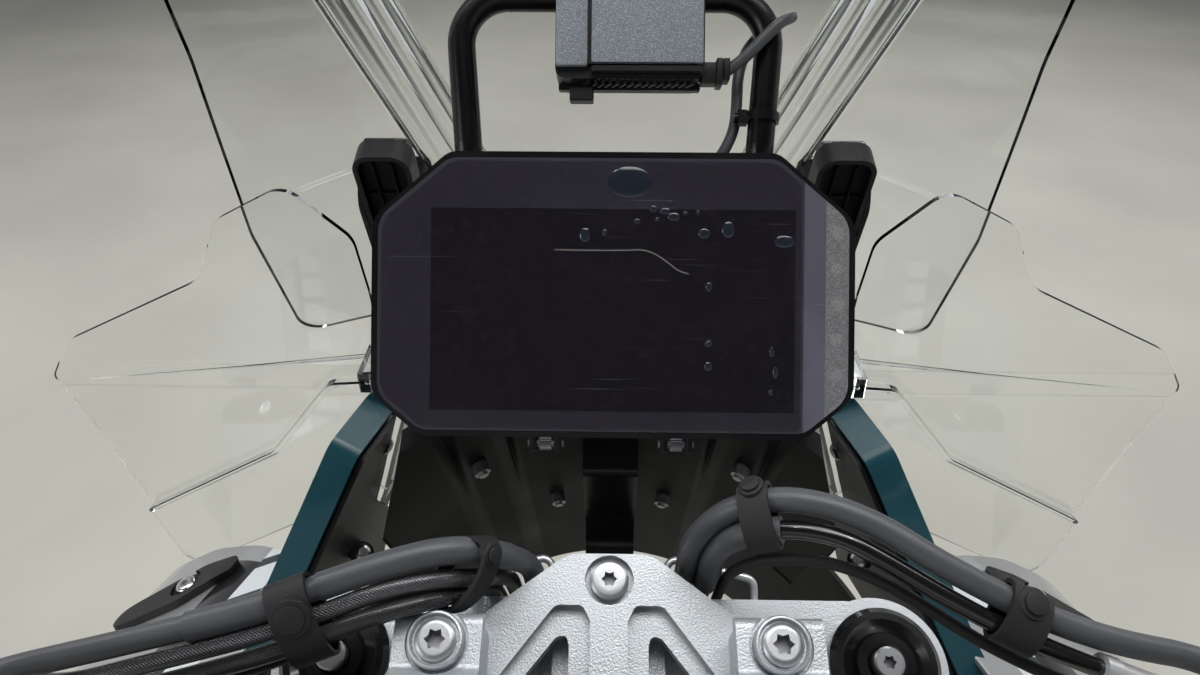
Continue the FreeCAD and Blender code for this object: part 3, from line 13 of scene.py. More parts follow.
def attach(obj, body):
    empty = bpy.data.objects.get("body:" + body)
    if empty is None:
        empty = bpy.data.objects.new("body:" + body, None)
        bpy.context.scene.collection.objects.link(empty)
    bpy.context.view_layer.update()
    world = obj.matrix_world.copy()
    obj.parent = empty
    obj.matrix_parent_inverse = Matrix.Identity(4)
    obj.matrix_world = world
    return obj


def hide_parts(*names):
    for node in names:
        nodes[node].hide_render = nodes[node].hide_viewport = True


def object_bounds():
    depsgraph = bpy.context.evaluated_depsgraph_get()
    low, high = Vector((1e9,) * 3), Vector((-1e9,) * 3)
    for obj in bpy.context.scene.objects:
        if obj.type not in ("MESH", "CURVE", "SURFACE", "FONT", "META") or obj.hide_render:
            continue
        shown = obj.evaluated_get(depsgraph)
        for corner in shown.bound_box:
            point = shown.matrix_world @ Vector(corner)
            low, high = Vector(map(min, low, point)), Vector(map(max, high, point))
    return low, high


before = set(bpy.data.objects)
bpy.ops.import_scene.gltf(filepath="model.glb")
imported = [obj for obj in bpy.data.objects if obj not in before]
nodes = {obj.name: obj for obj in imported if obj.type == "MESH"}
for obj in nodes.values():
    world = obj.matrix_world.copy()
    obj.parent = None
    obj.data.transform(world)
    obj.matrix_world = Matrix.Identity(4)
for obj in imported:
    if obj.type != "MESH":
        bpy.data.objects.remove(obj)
cad_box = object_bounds()
print("nodes:", len(nodes))

# %% [markdown]
# ## Where things are
# A motorcycle's steering leans back by its rake, so everything that turns with the fork is
# easiest to place in the steering head's own axes. The display has axes of its own too,
# and so has the navigation holder above it. Each is one matrix, worked out once from the
# sizes that a workshop drawing would give.

# %% The axes of the steering head, the display and the navigation holder
MM = 0.001
RAKE, DISPLAY_TILT, SCREEN_SLOPE = 25.5, 55, math.radians(72)
SIDES = (("left", -1), ("right", 1))


def shift(x, y, z):
    """A matrix that moves things by this much."""
    return Matrix.Translation((x, y, z))


def tilt(axis, degrees):
    """A matrix that turns things about X, Y or Z."""
    return Matrix.Rotation(math.radians(degrees), 4, axis)


AT_REST = Matrix.Scale(MM, 4)
AT_HEAD = AT_REST @ shift(0, 62, 45) @ tilt("X", RAKE)
AT_DISPLAY = AT_REST @ shift(0, 145, 236.5) @ tilt("X", DISPLAY_TILT)
AT_HOLDER = AT_REST @ shift(7, 243, 291) @ tilt("X", DISPLAY_TILT)


def own_axes(origin, first, second):
    """A matrix with these two directions as X and Y, and the third square to both."""
    first, second = Vector(first).normalized(), Vector(second).normalized()
    turn = Matrix((first, second, first.cross(second))).transposed().to_4x4()
    return Matrix.Translation(origin) @ turn


def facing(origin, axis):
    """Axes at a point given in millimetres, whose Z is this direction."""
    axis = Vector(axis).normalized()
    first = axis.orthogonal()
    return AT_REST @ own_axes(origin, first, axis.cross(first))


def on_side(matrix, side):
    """The matrix itself for the right side, or its mirror image for the left."""
    return matrix if side > 0 else Matrix.Diagonal((-1, 1, 1, 1)) @ matrix


# Side panel: X forwards along it, Y up it, Z out through its skin
AT_PANEL = AT_REST @ own_axes((176, 104, 44), (-0.33, 0.944, 0), (-0.285, -0.1, 0.953))
# Handlebar end: X outwards along the grip, Y forwards, Z up
BAR_BEND, BAR_END = Vector((245.7, -24.9, 172.9)), Vector((425, -92, 196))
bar_along = (BAR_END - BAR_BEND).normalized()
AT_BAR = AT_HEAD @ own_axes(BAR_BEND + bar_along * 17.5, bar_along, Vector((0, 0, 1)).cross(bar_along))
# Windscreen: X up its slope, Y out of it, forwards, Z across to the left
SCREEN_FOOT = (0, 312, 98)
screen_up = Vector((0, -math.cos(SCREEN_SLOPE), math.sin(SCREEN_SLOPE)))
screen_out = Vector((0, math.sin(SCREEN_SLOPE), math.cos(SCREEN_SLOPE)))
AT_SCREEN = AT_REST @ own_axes(SCREEN_FOOT, screen_up, screen_out)
print("display centre:", [round(value, 3) for value in AT_DISPLAY.translation])


# %% [markdown]
# ## Shader maths as plain sums
# A finish changes over a surface: grain, dust, a painted stripe. In Blender that is a tree of
# nodes, and writing every Math node by hand hides the idea. A small class wraps a socket, so
# that a sum on two values adds the node by itself, and one method makes any other node.

# %% A value in a material, and the finish that it belongs to
class Value:
    """One output in a material. Arithmetic on it adds Math nodes."""

    def __init__(self, finish, socket):
        self.finish = finish
        self.socket = socket

    def sum(self, operation, first, second=None):
        inputs = {0: first} if second is None else {0: first, 1: second}
        return self.finish.node("Math", inputs, operation=operation)

    def __add__(self, other):
        return self.sum("ADD", self, other)

    def __sub__(self, other):
        return self.sum("SUBTRACT", self, other)

    def __rsub__(self, other):
        return self.sum("SUBTRACT", other, self)

    def __mul__(self, other):
        return self.sum("MULTIPLY", self, other)

    def __gt__(self, other):
        return self.sum("GREATER_THAN", self, other)

    def __lt__(self, other):
        return self.sum("LESS_THAN", self, other)

    def __abs__(self):
        return self.sum("ABSOLUTE", self)

    def wave(self, length):
        """A sine of this value, one wave for each length."""
        return self.sum("SINE", self * (math.tau / length))

    __radd__ = __add__
    __rmul__ = __mul__


class Finish:
    """A material on one Principled shader, with the few nodes that vary it."""

    def __init__(self, name, colour, roughness, **constants):
        self.material = bpy.data.materials.new(name)
        self.material.use_nodes = True
        self.tree = self.material.node_tree
        self.shader = self.tree.nodes["Principled BSDF"]
        self.shader.inputs["Base Color"].default_value = (*colour, 1)
        self.shader.inputs["Roughness"].default_value = roughness
        self.colour = colour
        self.roughness = roughness
        for socket, value in constants.items():
            socket = socket.replace("_", " ").title().replace("Ior", "IOR")
            self.shader.inputs[socket].default_value = value

    def node(self, kind, inputs=None, output=0, **settings):
        """Any shader node: its settings are set, its inputs joined, and one output returned."""
        node = self.tree.nodes.new(f"ShaderNode{kind}")
        for name, value in settings.items():
            setattr(node, name, value)
        for name, value in (inputs or {}).items():
            self.join(value, node.inputs[name])
        return Value(self, node.outputs[output])

    def join(self, value, socket):
        if isinstance(value, Value):
            self.tree.links.new(value.socket, socket)
        else:
            socket.default_value = value

    def feed(self, name, value):
        self.join(value, self.shader.inputs[name])

    def place(self, matrix=None):
        """Object coordinates, in metres, or in the millimetres of a matrix's own axes."""
        found = self.node("TexCoord", output="Object")
        if matrix is None:
            return found
        inverse = matrix.inverted()
        inputs = {
            "Vector": found, "Location": inverse.translation,
            "Rotation": inverse.to_euler(), "Scale": inverse.to_scale(),
        }
        return self.node("Mapping", inputs)

    def split(self, vector):
        node = self.tree.nodes.new("ShaderNodeSeparateXYZ")
        self.join(vector, node.inputs[0])
        return [Value(self, output) for output in node.outputs]

    def noise(self, scale, detail=2):
        return self.node("TexNoise", {"Vector": self.place(), "Scale": scale, "Detail": detail})

    def mix(self, factor, first, second):
        """A colour between two, where each is a colour or a value."""
        ends = [colour if isinstance(colour, Value) else (*colour, 1) for colour in (first, second)]
        return self.node("Mix", {0: factor, 6: ends[0], 7: ends[1]}, 2, data_type="RGBA")

    def bump(self, height, depth, strength=1):
        inputs = {"Height": height, "Distance": depth, "Strength": strength}
        self.feed("Normal", self.node("Bump", inputs))

    def step(self, value, low, high):
        """0 below low, 1 above high, straight between them."""
        return self.node("MapRange", {"Value": value, "From Min": low, "From Max": high}, clamp=True)

    def grain(self, scale, depth, tint=0.25, gloss=0.12):
        """Fine grain, with cloudy wear in the colour and the gloss."""
        cloud = self.step(self.noise(14, 4), 0.35, 0.7)
        lighter = tuple(min(1, part * (1 + tint) + 0.004) for part in self.colour)
        self.feed("Base Color", self.mix(cloud, self.colour, lighter))
        self.feed("Roughness", self.roughness + (cloud - 0.5) * gloss)
        self.bump(self.noise(scale, 3), depth)
        return self


print("the finish class is ready")

# %% [markdown]
# ## The plain finishes
# Most of a cockpit is moulded black plastic, and each part of it has its own grain: coarse on
# the holder's lid, fine on the display's housing. Metal parts are cast and blasted, turned
# and anodised, or drawn wire. Grain is a bump from fine noise, because it is far smaller than
# any shape that is worth modelling.

# %% Plastics, metals, paint and rubber
# A darker, duller copy of the black plastic, for the inner cover and the floors of the arms' hollows: it is
# painted shade for these deep-set places.
deep = Finish("black_painted_shade", (0.003, 0.003, 0.0035), 0.5, specular_ior_level=0.15).grain(1900, 0.0001)
moulded = Finish("moulded_plastic", (0.009, 0.009, 0.01), 0.44, specular_ior_level=0.3)
moulded.grain(1900, 0.00012)
coarse = Finish("coarse_plastic_painted_sheen", (0.055, 0.058, 0.064), 0.42).grain(1500, 0.0003)
# The lid's light grey is painted sheen of the overhead light on a dark plastic, and its light flecks are
# painted glints.
painted_glints = coarse.step(coarse.noise(1700, 2), 0.48, 0.66)
coarse.feed("Base Color", coarse.mix(painted_glints, (0.25, 0.275, 0.3), (0.5, 0.545, 0.6)))
smooth_case = Finish("smooth_plastic", (0.005, 0.005, 0.0058), 0.28, specular_ior_level=0.3)
smooth_case.grain(2600, 0.00003)
powder = Finish("powder_coat", (0.003, 0.003, 0.0034), 0.26, specular_ior_level=0.3).grain(1500, 0.00008)
anodised = Finish("black_anodised", (0.008, 0.008, 0.009), 0.22, coat_weight=0.6)
anodised.grain(2400, 0.00002)
blasted = Finish("blasted_casting", (0.49, 0.515, 0.535), 0.42, metallic=0.55).grain(1400, 0.00022, 0.1)
steel = Finish("bright_steel", (0.62, 0.62, 0.63), 0.24, metallic=1).grain(700, 0.00004, 0.08)
# Darker, duller steel for the floors of the star sockets: it paints the shade that falls in them.
shaded = Finish("steel_painted_shade", (0.3, 0.3, 0.31), 0.5, metallic=0.5).grain(700, 0.00004, 0.3)
wire = Finish("zinc_wire", (0.55, 0.56, 0.57), 0.38, metallic=0.85).grain(900, 0.00006, 0.15)
rubber = Finish("soft_rubber", (0.015, 0.015, 0.016), 0.6, specular_ior_level=0.35).grain(1200, 0.00012)
sleeve = Finish("loom_sleeve", (0.062, 0.066, 0.073), 0.42).grain(1700, 0.0001)
plated = Finish("plated_steel", (0.56, 0.57, 0.58), 0.36, metallic=0.5).grain(900, 0.00004, 0.1)
jacket = Finish("hose_jacket", (0.004, 0.004, 0.0045), 0.2, coat_weight=0.5, coat_roughness=0.05)
jacket.grain(1500, 0.00001, 0.1)
brushed = Finish("brushed_steel", (0.43, 0.44, 0.455), 0.4, metallic=0.9).grain(900, 0.00004, 0.08)
green = Finish(
    "green_paint", (0.007, 0.052, 0.07), 0.3, specular_ior_level=0.2, coat_weight=0.25, coat_roughness=0.08
)
green.grain(420, 0.00001, 0.35)
silver = Finish("silver_paint", (0.48, 0.49, 0.5), 0.34, metallic=0.5, coat_weight=0.8)
silver.grain(3200, 0.00002, 0.1)
print("plain finishes:", len(bpy.data.materials))

# %% [markdown]
# ## A stripe and a rib
# Two finishes need to know where they are. The silver flank carries a white stripe with
# slanting bars beside the green panel, then a black band, and the grip has rings all along it.
# The stripe is a range of distances outwards from the panel, the rings are a sine wave along
# the bar.

# %% The striped flank and the ribbed grips
FLANK_ACROSS = (0.944, 0.33)
WHITE_STRIPE, BLACK_BAND, BAND_FRONT = (234, 250), (250, 268), 104
BAR_PITCH, BAR_SLANT = 30, 0.7
RING_PITCH, DIAMOND_PITCH = 3.2, 9
x, y, _ = silver.split(silver.place(AT_REST))
outwards = abs(x) * FLANK_ACROSS[0] + y * FLANK_ACROSS[1]
forwards = y * FLANK_ACROSS[0] - abs(x) * FLANK_ACROSS[1]
white_part = (outwards > WHITE_STRIPE[0]) * (outwards < WHITE_STRIPE[1])
bars = white_part * ((forwards + outwards * BAR_SLANT).wave(BAR_PITCH) > 0.72)
black_part = (outwards > BLACK_BAND[0]) * (outwards < BLACK_BAND[1]) * (forwards < BAND_FRONT)
painted = silver.mix(white_part, silver.colour, (0.7, 0.74, 0.76))
painted = silver.mix(bars, painted, (0.03, 0.045, 0.05))
silver.feed("Base Color", silver.mix(black_part, painted, (0.012, 0.012, 0.013)))
silver.feed("Metallic", 0.5 - (white_part + black_part) * 0.5)


def ribbed_grip(name, side):
    finish = Finish(name, (0.018, 0.018, 0.019), 0.68)
    along, ahead, up = finish.split(finish.place(on_side(AT_BAR, side)))
    ring = along.wave(RING_PITCH)
    diamond = (along + ahead * 1.4 + up * 1.4).wave(DIAMOND_PITCH)
    finish.feed("Roughness", 0.62 + finish.noise(300, 3) * 0.15)
    finish.bump(finish.step(ring, 0, 0.6) + diamond * 0.25, 0.0006)
    return finish


grip_finishes = {name: ribbed_grip(f"{name}_grip_rubber", side) for name, side in SIDES}
print("stripe", WHITE_STRIPE, "black band", BLACK_BAND)

# %% [markdown]
# ## Clear sheet
# The screen and the side deflectors are pressed from clear plastic. The sheet itself hardly
# shows: its edges, creases and steps do, because they bend the light. A real refraction index
# on a sheet of real thickness does this by itself. A little dust roughens it in clouds.

# %% The clear finishes
clear = Finish("clear_sheet", (0.97, 0.985, 0.98), 0.02, transmission_weight=1, ior=1.49)
dust = clear.step(clear.noise(60, 5), 0.62, 0.8)
clear.feed("Roughness", 0.015 + dust * 0.1)
film = Finish("protective_film", (0.95, 0.95, 0.97), 0.04, transmission_weight=1, ior=1.3)
film.feed("Roughness", 0.04 + film.step(film.noise(240, 4), 0.5, 0.8) * 0.12)
blister = Finish("film_blister", (0.013, 0.018, 0.028), 0.12, coat_weight=0.5, coat_roughness=0.03)
blister.feed("Roughness", 0.08 + blister.noise(300, 3) * 0.12)
fibre = Finish("pale_fibre", (0.55, 0.52, 0.45), 0.6)
print("finishes of the screen and the film: 4")

# %% [markdown]
# ## The display's glass
# Switched off, a display is a dark mirror. Its lit area is a shade darker than the border, a
# loose protective film covers it, and that film has a dusty strip at its right edge, finger
# marks and fine scratches. Beside the film's edge a lighter band is painted reflection of the
# bare glass. All of this lies flat in the glass, so it is masks in the display's own axes:
# distances from its centre in millimetres, compared with plain numbers.

# %% Masks on the glass
glass = Finish("display_glass", (0.012, 0.01, 0.012), 0.06, coat_weight=0.6, coat_roughness=0.02)
glass_place = glass.place(AT_DISPLAY)
across, up, _ = glass.split(glass_place)
DOT_LINE, DOT_PITCH = 88.5, 14
LIT_HALF_WIDTH, LIT_TOP, LIT_FOOT = 72, 34, -46
FILM_STRIP, REFLECTION_WIDTH = (84, 95.5), 8.5
lit = (abs(across) < LIT_HALF_WIDTH) * (up < LIT_TOP) * (up > LIT_FOOT)
strip = (across > FILM_STRIP[0]) * (across < FILM_STRIP[1])
painted_reflection_band = (across > FILM_STRIP[0] - REFLECTION_WIDTH) * (across < FILM_STRIP[0])
speckle = glass.step(glass.noise(1500, 3), 0.42, 0.66)
smear = glass.step(glass.noise(22, 5), 0.5, 0.75)
drawn_out = {"Vector": glass_place, "Rotation": (0, 0, 0.5), "Scale": (0.02, 1.6, 1)}
streaks = glass.node("TexNoise", {"Vector": glass.node("Mapping", drawn_out), "Scale": 1})
scratch = glass.step(streaks, 0.71, 0.74)
row = up.sum("PINGPONG", up + 3, DOT_PITCH / 2)
squares = (across - DOT_LINE) * (across - DOT_LINE) + row * row
dot_far = squares.sum("SQRT", squares)
dots = 1 - glass.step(dot_far, 1.6, 3.2)
border_colour = glass.mix(smear * 0.6, (0.043, 0.039, 0.05), (0.066, 0.061, 0.076))
glass_colour = glass.mix(lit, border_colour, (0.015, 0.0118, 0.018))
dusty = glass.mix(speckle * 0.7 + dots * 0.3, (0.15, 0.152, 0.158), (0.36, 0.365, 0.36))
# A lighter bluish band just right of the film's edge is painted reflection of the bare glass, patchy with
# finger marks.
glass_colour = glass.mix(painted_reflection_band * (0.45 + smear * 0.4), glass_colour, (0.17, 0.175, 0.225))
glass_colour = glass.mix(strip * 0.8, glass_colour, dusty)
glass_colour = glass.mix(scratch * 0.5, glass_colour, (0.25, 0.25, 0.27))
glass.feed("Base Color", glass_colour)
glass.feed("Roughness", 0.05 + smear * 0.07 + strip * 0.3)
glass.bump(glass.noise(9, 1) + smear * 0.1, 0.0006, 0.3)
print("display glass: lit area", 2 * LIT_HALF_WIDTH, "by", LIT_TOP - LIT_FOOT, "mm")

# %% [markdown]
# ## Braided hose
# A brake hose is a braid under a clear jacket: two sets of fine threads that cross. The
# pattern has to follow the hose, so it reads the hose's own UV map, which runs along it and
# round it in millimetres. Two slanting waves, one each way, are the threads.

# %% The braid
def braid(name, colour, thread_colour, pitch):
    finish = Finish(name, colour, 0.2, coat_weight=0.3, coat_roughness=0.08)
    along, round_it, _ = finish.split(finish.node("TexCoord", output="UV"))
    waves = [(along + round_it * way).wave(pitch) for way in (-1, 1)]
    both = waves[0].sum("MAXIMUM", *waves)
    thread = finish.step(both, 0.45, 0.98)
    finish.feed("Base Color", finish.mix(thread, colour, thread_colour))
    finish.feed("Roughness", 0.38 - thread * 0.18)
    finish.feed("Metallic", thread * 0.75)
    finish.bump(thread, 0.0001)
    return finish


braided = braid("braided_hose", (0.003, 0.003, 0.0035), (0.2, 0.2, 0.215), 1.3)
fine_braid = braid("fine_braid", (0.012, 0.012, 0.013), (0.04, 0.04, 0.043), 1.1)
print("braids: 2")

# %% [markdown]
# ## Finishes on the CAD nodes
# A node whose shape is right keeps it and only gets a finish. One table says which, with the
# beginning of each name, so that left and right need one word.

# %% Dress the CAD nodes
NODE_FINISHES = (
    # finish, beginnings of the nodes' names
    (powder, "steering_head front_spine carrier nav_bar handlebar clutch_lever brake_lever"),
    (moulded, "inner_cover display_mount nav_clamp nav_cradle nav_cover side_liner side_trim"),
    (moulded, "screen_guide switch_pod"),
    (smooth_case, "display_housing screen_arm"),
    (glass, "display_glass"),
    (green, "side_panel"),
    (silver, "side_flank"),
    (clear, "deflector windscreen"),
    (blasted, "fork_bridge riser_bridge clamp_cap"),
    (wire, "hose_guide"),
    (anodised, "fork_tube fork_cap bar_end clutch_cylinder brake_cylinder"),
    (steel, "steering_stem"),
    (grip_finishes["left"], "grip_left"),
    (grip_finishes["right"], "grip_right"),
    (rubber, "hose_clip"),
)
dressed = 0
for finish, beginnings in NODE_FINISHES:
    for name, node in nodes.items():
        if name.startswith(tuple(beginnings.split())):
            dressed += 1
            for place in node.material_slots:
                place.material = finish.material
print("dressed nodes:", dressed, "of", len(nodes))


# %% [markdown]
# ## Making a piece
# Every new piece is a small bmesh: a create operator gives a raw shape, others cut, bevel and
# move it, and a last helper turns it into an object that rides on a CAD body. The object stays
# at the origin, so its place is in its mesh. A table lists each finish under one material slot
# of the part, and the slot is looked up for each piece but not used. A piece that names no body
# rides on the front frame.

# %% The helpers for new pieces
def start_mesh(node_name=None):
    """An empty bmesh, or a copy of a CAD node's mesh with its doubled points joined."""
    mesh = bmesh.new()
    if node_name:
        mesh.from_mesh(nodes[node_name].data)
        bmesh.ops.remove_doubles(mesh, verts=mesh.verts, dist=1e-6)
    return mesh


def add_cylinder(mesh, matrix, radius, low, high, segments=32, top_radius=None):
    """A cylinder along the matrix's Z from low to high. Returns its vertices."""
    made = bmesh.ops.create_cone(
        mesh, cap_ends=True, segments=segments, radius1=radius, radius2=top_radius or radius,
        depth=high - low, matrix=matrix @ shift(0, 0, (low + high) / 2),
    )
    return made["verts"]


def add_box(mesh, matrix, size, centre):
    """A box of that size about a centre in the matrix's axes."""
    bmesh.ops.create_cube(mesh, size=1, matrix=matrix @ shift(*centre) @ Matrix.Diagonal((*size, 1)))


def soften(mesh, width, segments=2, sharper_than=30):
    """Bevel every edge that turns by more than this angle, by a width in millimetres."""
    limit = math.radians(sharper_than)
    edges = [edge for edge in mesh.edges if edge.is_manifold and edge.calc_face_angle(0) > limit]
    bmesh.ops.bevel(
        mesh, geom=edges, offset=width * MM, segments=segments, profile=0.5, affect="EDGES", material=-1
    )


def put_in_scene(name, data):
    """A new object for a mesh, curve, lamp or camera."""
    placed = bpy.data.objects.new(name, data)
    bpy.context.scene.collection.objects.link(placed)
    return placed


SLOTS = {
    "black_plastic": (deep, moulded, coarse, smooth_case),
    "black_rubber": (rubber, sleeve, jacket, braided, fine_braid),
    "chrome_steel": (steel, brushed, plated, shaded),
    "cast_alloy": (blasted,),
    "black_alloy": (anodised,),
    "clear_sheet": (clear, film, blister, fibre),
}


def show_mesh(name, data, finish, body):
    """A piece with this mesh and this finish, which rides on a CAD body."""
    piece = put_in_scene(name, data)
    data.materials.clear()
    data.materials.append(finish.material)
    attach(piece, body)
    slot = next(slot for slot, finishes in SLOTS.items() if finish in finishes)
    return piece


def finish_piece(name, mesh, finish, body="front_frame", smooth=True):
    """The same from a bmesh. A smooth piece keeps its edges of more than 35 degrees sharp."""
    data = bpy.data.meshes.new(name)
    bmesh.ops.recalc_face_normals(mesh, faces=mesh.faces)
    mesh.to_mesh(data)
    mesh.free()
    if smooth:
        data.shade_smooth()
        data.set_sharp_from_angle(angle=math.radians(35))
    return show_mesh(name, data, finish, body)


print("helpers are ready")


# %% [markdown]
# ## Screws and bolts
# The bolts that hold a handlebar have a six-lobed drive, and their heads are turned with a
# soft edge. The CAD gives the head and a round socket, so this adds the lobes: a ring that
# fills the socket, with a star cut in it. The star is a circle of 24 points, where one in four
# is pulled in far and its two neighbours less, which leaves six lobes.

# %% A ring with a star drive
def add_star_ring(mesh, matrix, outer, star, low, high):
    """A ring with a six-lobed hole: outer radius, lobe radius, and its floor and top."""
    at_top = matrix @ shift(0, 0, high)
    rims = [
        bmesh.ops.create_circle(mesh, cap_ends=False, segments=24, radius=radius, matrix=at_top)["verts"]
        for radius in (outer, star)
    ]
    for numbers, share in (((0,), 0.7), ((1, 3), 0.8)):
        group = [vertex for number, vertex in enumerate(rims[1]) if number % 4 in numbers]
        bmesh.ops.scale(mesh, vec=(share,) * 3, verts=group, space=Matrix.Translation(-at_top.translation))
    edges = {edge for rim in rims for vertex in rim for edge in vertex.link_edges}
    bmesh.ops.bridge_loops(mesh, edges=list(edges))
    inner_edges = [edge for edge in edges if all(vertex in rims[1] for vertex in edge.verts)]
    wall = bmesh.ops.extrude_edge_only(mesh, edges=inner_edges)["geom"]
    moved = [item for item in wall if isinstance(item, bmesh.types.BMVert)]
    bmesh.ops.translate(mesh, vec=matrix.to_3x3() @ Vector((0, 0, low - high)), verts=moved)


def star_screws(name, places, outer, star, low, high, finish, body="front_frame"):
    """Rings with a star drive at these places, and a floor of darker steel in each, which paints the shade
    in the socket.
    """
    rings, floors = start_mesh(), start_mesh()
    for matrix in places:
        add_star_ring(rings, matrix, outer, star, low, high)
        add_cylinder(floors, matrix, outer, low - 0.1, low + 0.1, 24)
    finish_piece(name, rings, finish, body, smooth=False)
    finish_piece(f"{name}_floors", floors, shaded, body, smooth=False)


CLAMP_PITCH, CLAMP_ACROSS, CLAMP_AHEAD, CLAMP_DRIVE = 54, 60, 4, 5
clamp_places = [
    AT_HEAD @ shift(side * CLAMP_ACROSS, CLAMP_AHEAD + end * CLAMP_PITCH / 2, 0)
    for _, side in SIDES
    for end in (-1, 1)
]
print("clamp bolts:", len(clamp_places))

# %% [markdown]
# ## Hoses and looms
# A hose is one smooth line that was laid by hand, so it is a curve whose control points are
# the same as the CAD tube's. A curve made round gives a mesh with a UV map along and round
# it, which is scaled here to millimetres, so that the braid keeps its size on every hose.

# %% The routes
HOSE_RUNS = (
    # name, CAD node, finish, radius in millimetres, points X across, Y forwards, Z up
    ("left_loom_sleeve", "left_loom", sleeve, 4.5, (
        (-292.5, -33.8, 176.8), (-261, -20.6, 178), (-236, 10, 160), (-210.5, 32.5, 151.5),
        (-183, 34, 159.5), (-159.5, 37.5, 164), (-138, 41.5, 167.5), (-118, 45, 172),
        (-98, 52, 175.5), (-76.5, 58.5, 179.5), (-55, 64.5, 180.8), (-37, 73, 166.5),
        (-31, 85, 147), (-31, 95, 123), (-31, 101, 106),
    )),
    ("clutch_hose_braid", "clutch_hose", braided, 3.3, (
        (-253.5, -4.5, 199), (-249, 14, 179), (-237, 31, 158.5), (-220, 38, 145.5),
        (-200.5, 33, 143.5), (-181, 28.5, 152), (-161.5, 31.5, 156.5), (-140.5, 35, 160.8),
        (-120.5, 38.5, 164.8), (-100, 45, 168.3), (-79.5, 51.5, 173), (-60, 57.2, 173),
        (-46, 66.5, 162), (-39.5, 81, 145.5), (-39.5, 93, 122), (-39.5, 99.5, 106),
    )),
    ("left_cable_upper", "left_cables", fine_braid, 3.3, (
        (-289.5, -41, 170.2), (-257.7, -28.4, 171.7), (-233, 0, 152), (-207, 19.5, 143),
        (-181, 24.5, 146), (-158.5, 28, 150), (-137, 32, 154), (-115, 35.5, 159.5),
        (-97, 40.5, 164), (-78.5, 45.5, 168.5), (-61, 52, 168), (-51, 66, 155.5), (-46.5, 81, 140),
        (-46.5, 93, 117), (-46.5, 99, 103),
    )),
    ("left_cable_lower", "left_cables", rubber, 2.9, (
        (-286.4, -47.6, 167.6), (-254.9, -35.2, 169), (-229, -6, 145), (-201.5, 13, 136.5),
        (-175, 21.5, 138.5), (-155.5, 28, 142.5), (-136, 34, 147), (-117, 38, 151.5),
        (-98, 44, 156.5), (-80.5, 51, 164.5), (-66, 57, 163), (-57, 71, 151), (-53, 84, 135),
        (-53, 95, 113), (-53, 100, 102),
    )),
    ("right_loom_sleeve", "right_loom", sleeve, 4.5, (
        (292.5, -33.8, 176.8), (261, -20.6, 178), (236, 12, 161), (204, 41, 157), (172.5, 38, 168),
        (147.5, 41.5, 175), (126.5, 47, 183.5), (108, 54, 190.5), (92, 63.5, 196), (75, 70, 199),
        (58, 75, 197), (41, 76.5, 188.5), (31, 79, 170), (31, 87, 147), (31, 96, 123),
        (31, 102, 106),
    )),
    ("brake_hose_jacket", "brake_hose", jacket, 3.3, (
        (253.5, -4.5, 199), (249, 14, 178), (238, 33, 158), (222, 39, 144), (200, 33, 144.5),
        (176.5, 30.5, 158), (148.5, 35, 167.5), (127.5, 40, 175.5), (109, 46.5, 183),
        (93.5, 55, 188), (78, 62, 192.5), (61, 66.5, 191), (45, 70, 183), (39.5, 77, 166),
        (39.5, 85, 144), (39.5, 95, 120), (39.5, 101, 104),
    )),
    ("right_cable", "right_cables", rubber, 2.2, (
        (289.5, -41, 170.2), (257.7, -28.4, 171.7), (233, -2, 152), (205.5, 18, 144),
        (178, 25, 149.5), (159, 31, 153.5), (141, 36, 159), (122.5, 41.5, 166.5),
        (105.5, 49, 174.5), (89, 56.5, 179.5), (71.5, 62, 180.5), (56, 66, 175), (48, 72, 163),
        (46.5, 83, 144), (46.5, 94, 121), (46.5, 100, 105),
    )),
)


# %% One smooth curve for each run
def curve_mesh(name, points, radius, kind="NURBS"):
    """A curve through these points as a mesh, and its length in millimetres."""
    curve = bpy.data.curves.new(name, "CURVE")
    curve.dimensions = "3D"
    curve.resolution_u = 10
    curve.bevel_depth = radius * MM
    curve.bevel_resolution = 5
    curve.use_fill_caps = True
    spline = curve.splines.new(kind)
    spline.points.add(len(points) - 1)
    for place, point in zip(spline.points, points):
        place.co = (*(Vector(point) * MM), 1)
    if kind == "NURBS":
        spline.order_u = 3
        spline.use_endpoint_u = True
    holder = put_in_scene(name + "_line", curve)
    bpy.context.view_layer.update()
    made = bpy.data.meshes.new_from_object(holder.evaluated_get(bpy.context.evaluated_depsgraph_get()))
    length = spline.calc_length() / MM
    bpy.data.objects.remove(holder)
    bpy.data.curves.remove(curve)
    made.name = name
    if radius:
        made.shade_smooth()
        for corner in made.uv_layers[0].data:
            corner.uv = (corner.uv[0] * length, corner.uv[1] * math.tau * radius)
    return made, length


def show_curve(name, points, radius, finish, body="front_frame", kind="NURBS"):
    """A round curve through these points, as a piece."""
    data, length = curve_mesh(name, points, radius, kind)
    print(name, round(length), "mm")
    return show_mesh(name, data, finish, body)


hose_lines = {}
for name, node, finish, radius, points in HOSE_RUNS:
    hose = show_curve(name, points, radius, finish, "steering")
    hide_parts(node)
    line, _ = curve_mesh(name + "_path", points, 0)
    hose_lines[name] = [vertex.co / MM for vertex in line.vertices]
    bpy.data.meshes.remove(line)

# %% [markdown]
# ## Sleeves, ferrules and ties
# A hose isn't bare along its whole length: a rubber sleeve guards it where it rubs, a metal
# ferrule ends the braid, and flat rubber ties hold the bundle. A sleeve is a second, thicker
# tube on a stretch of the hose's own line. A tie is a short open cylinder, pressed oval so
# that it goes round all the strands, and given a wall.


# %% A stretch of sleeve on a hose
def stretch(line, start, end):
    """The line's points from start to end, in millimetres from its outer end."""
    kept, run = [], 0
    for number, point in enumerate(line):
        if number:
            run += (point - line[number - 1]).length
        if start <= run <= end:
            kept.append(point)
    return kept


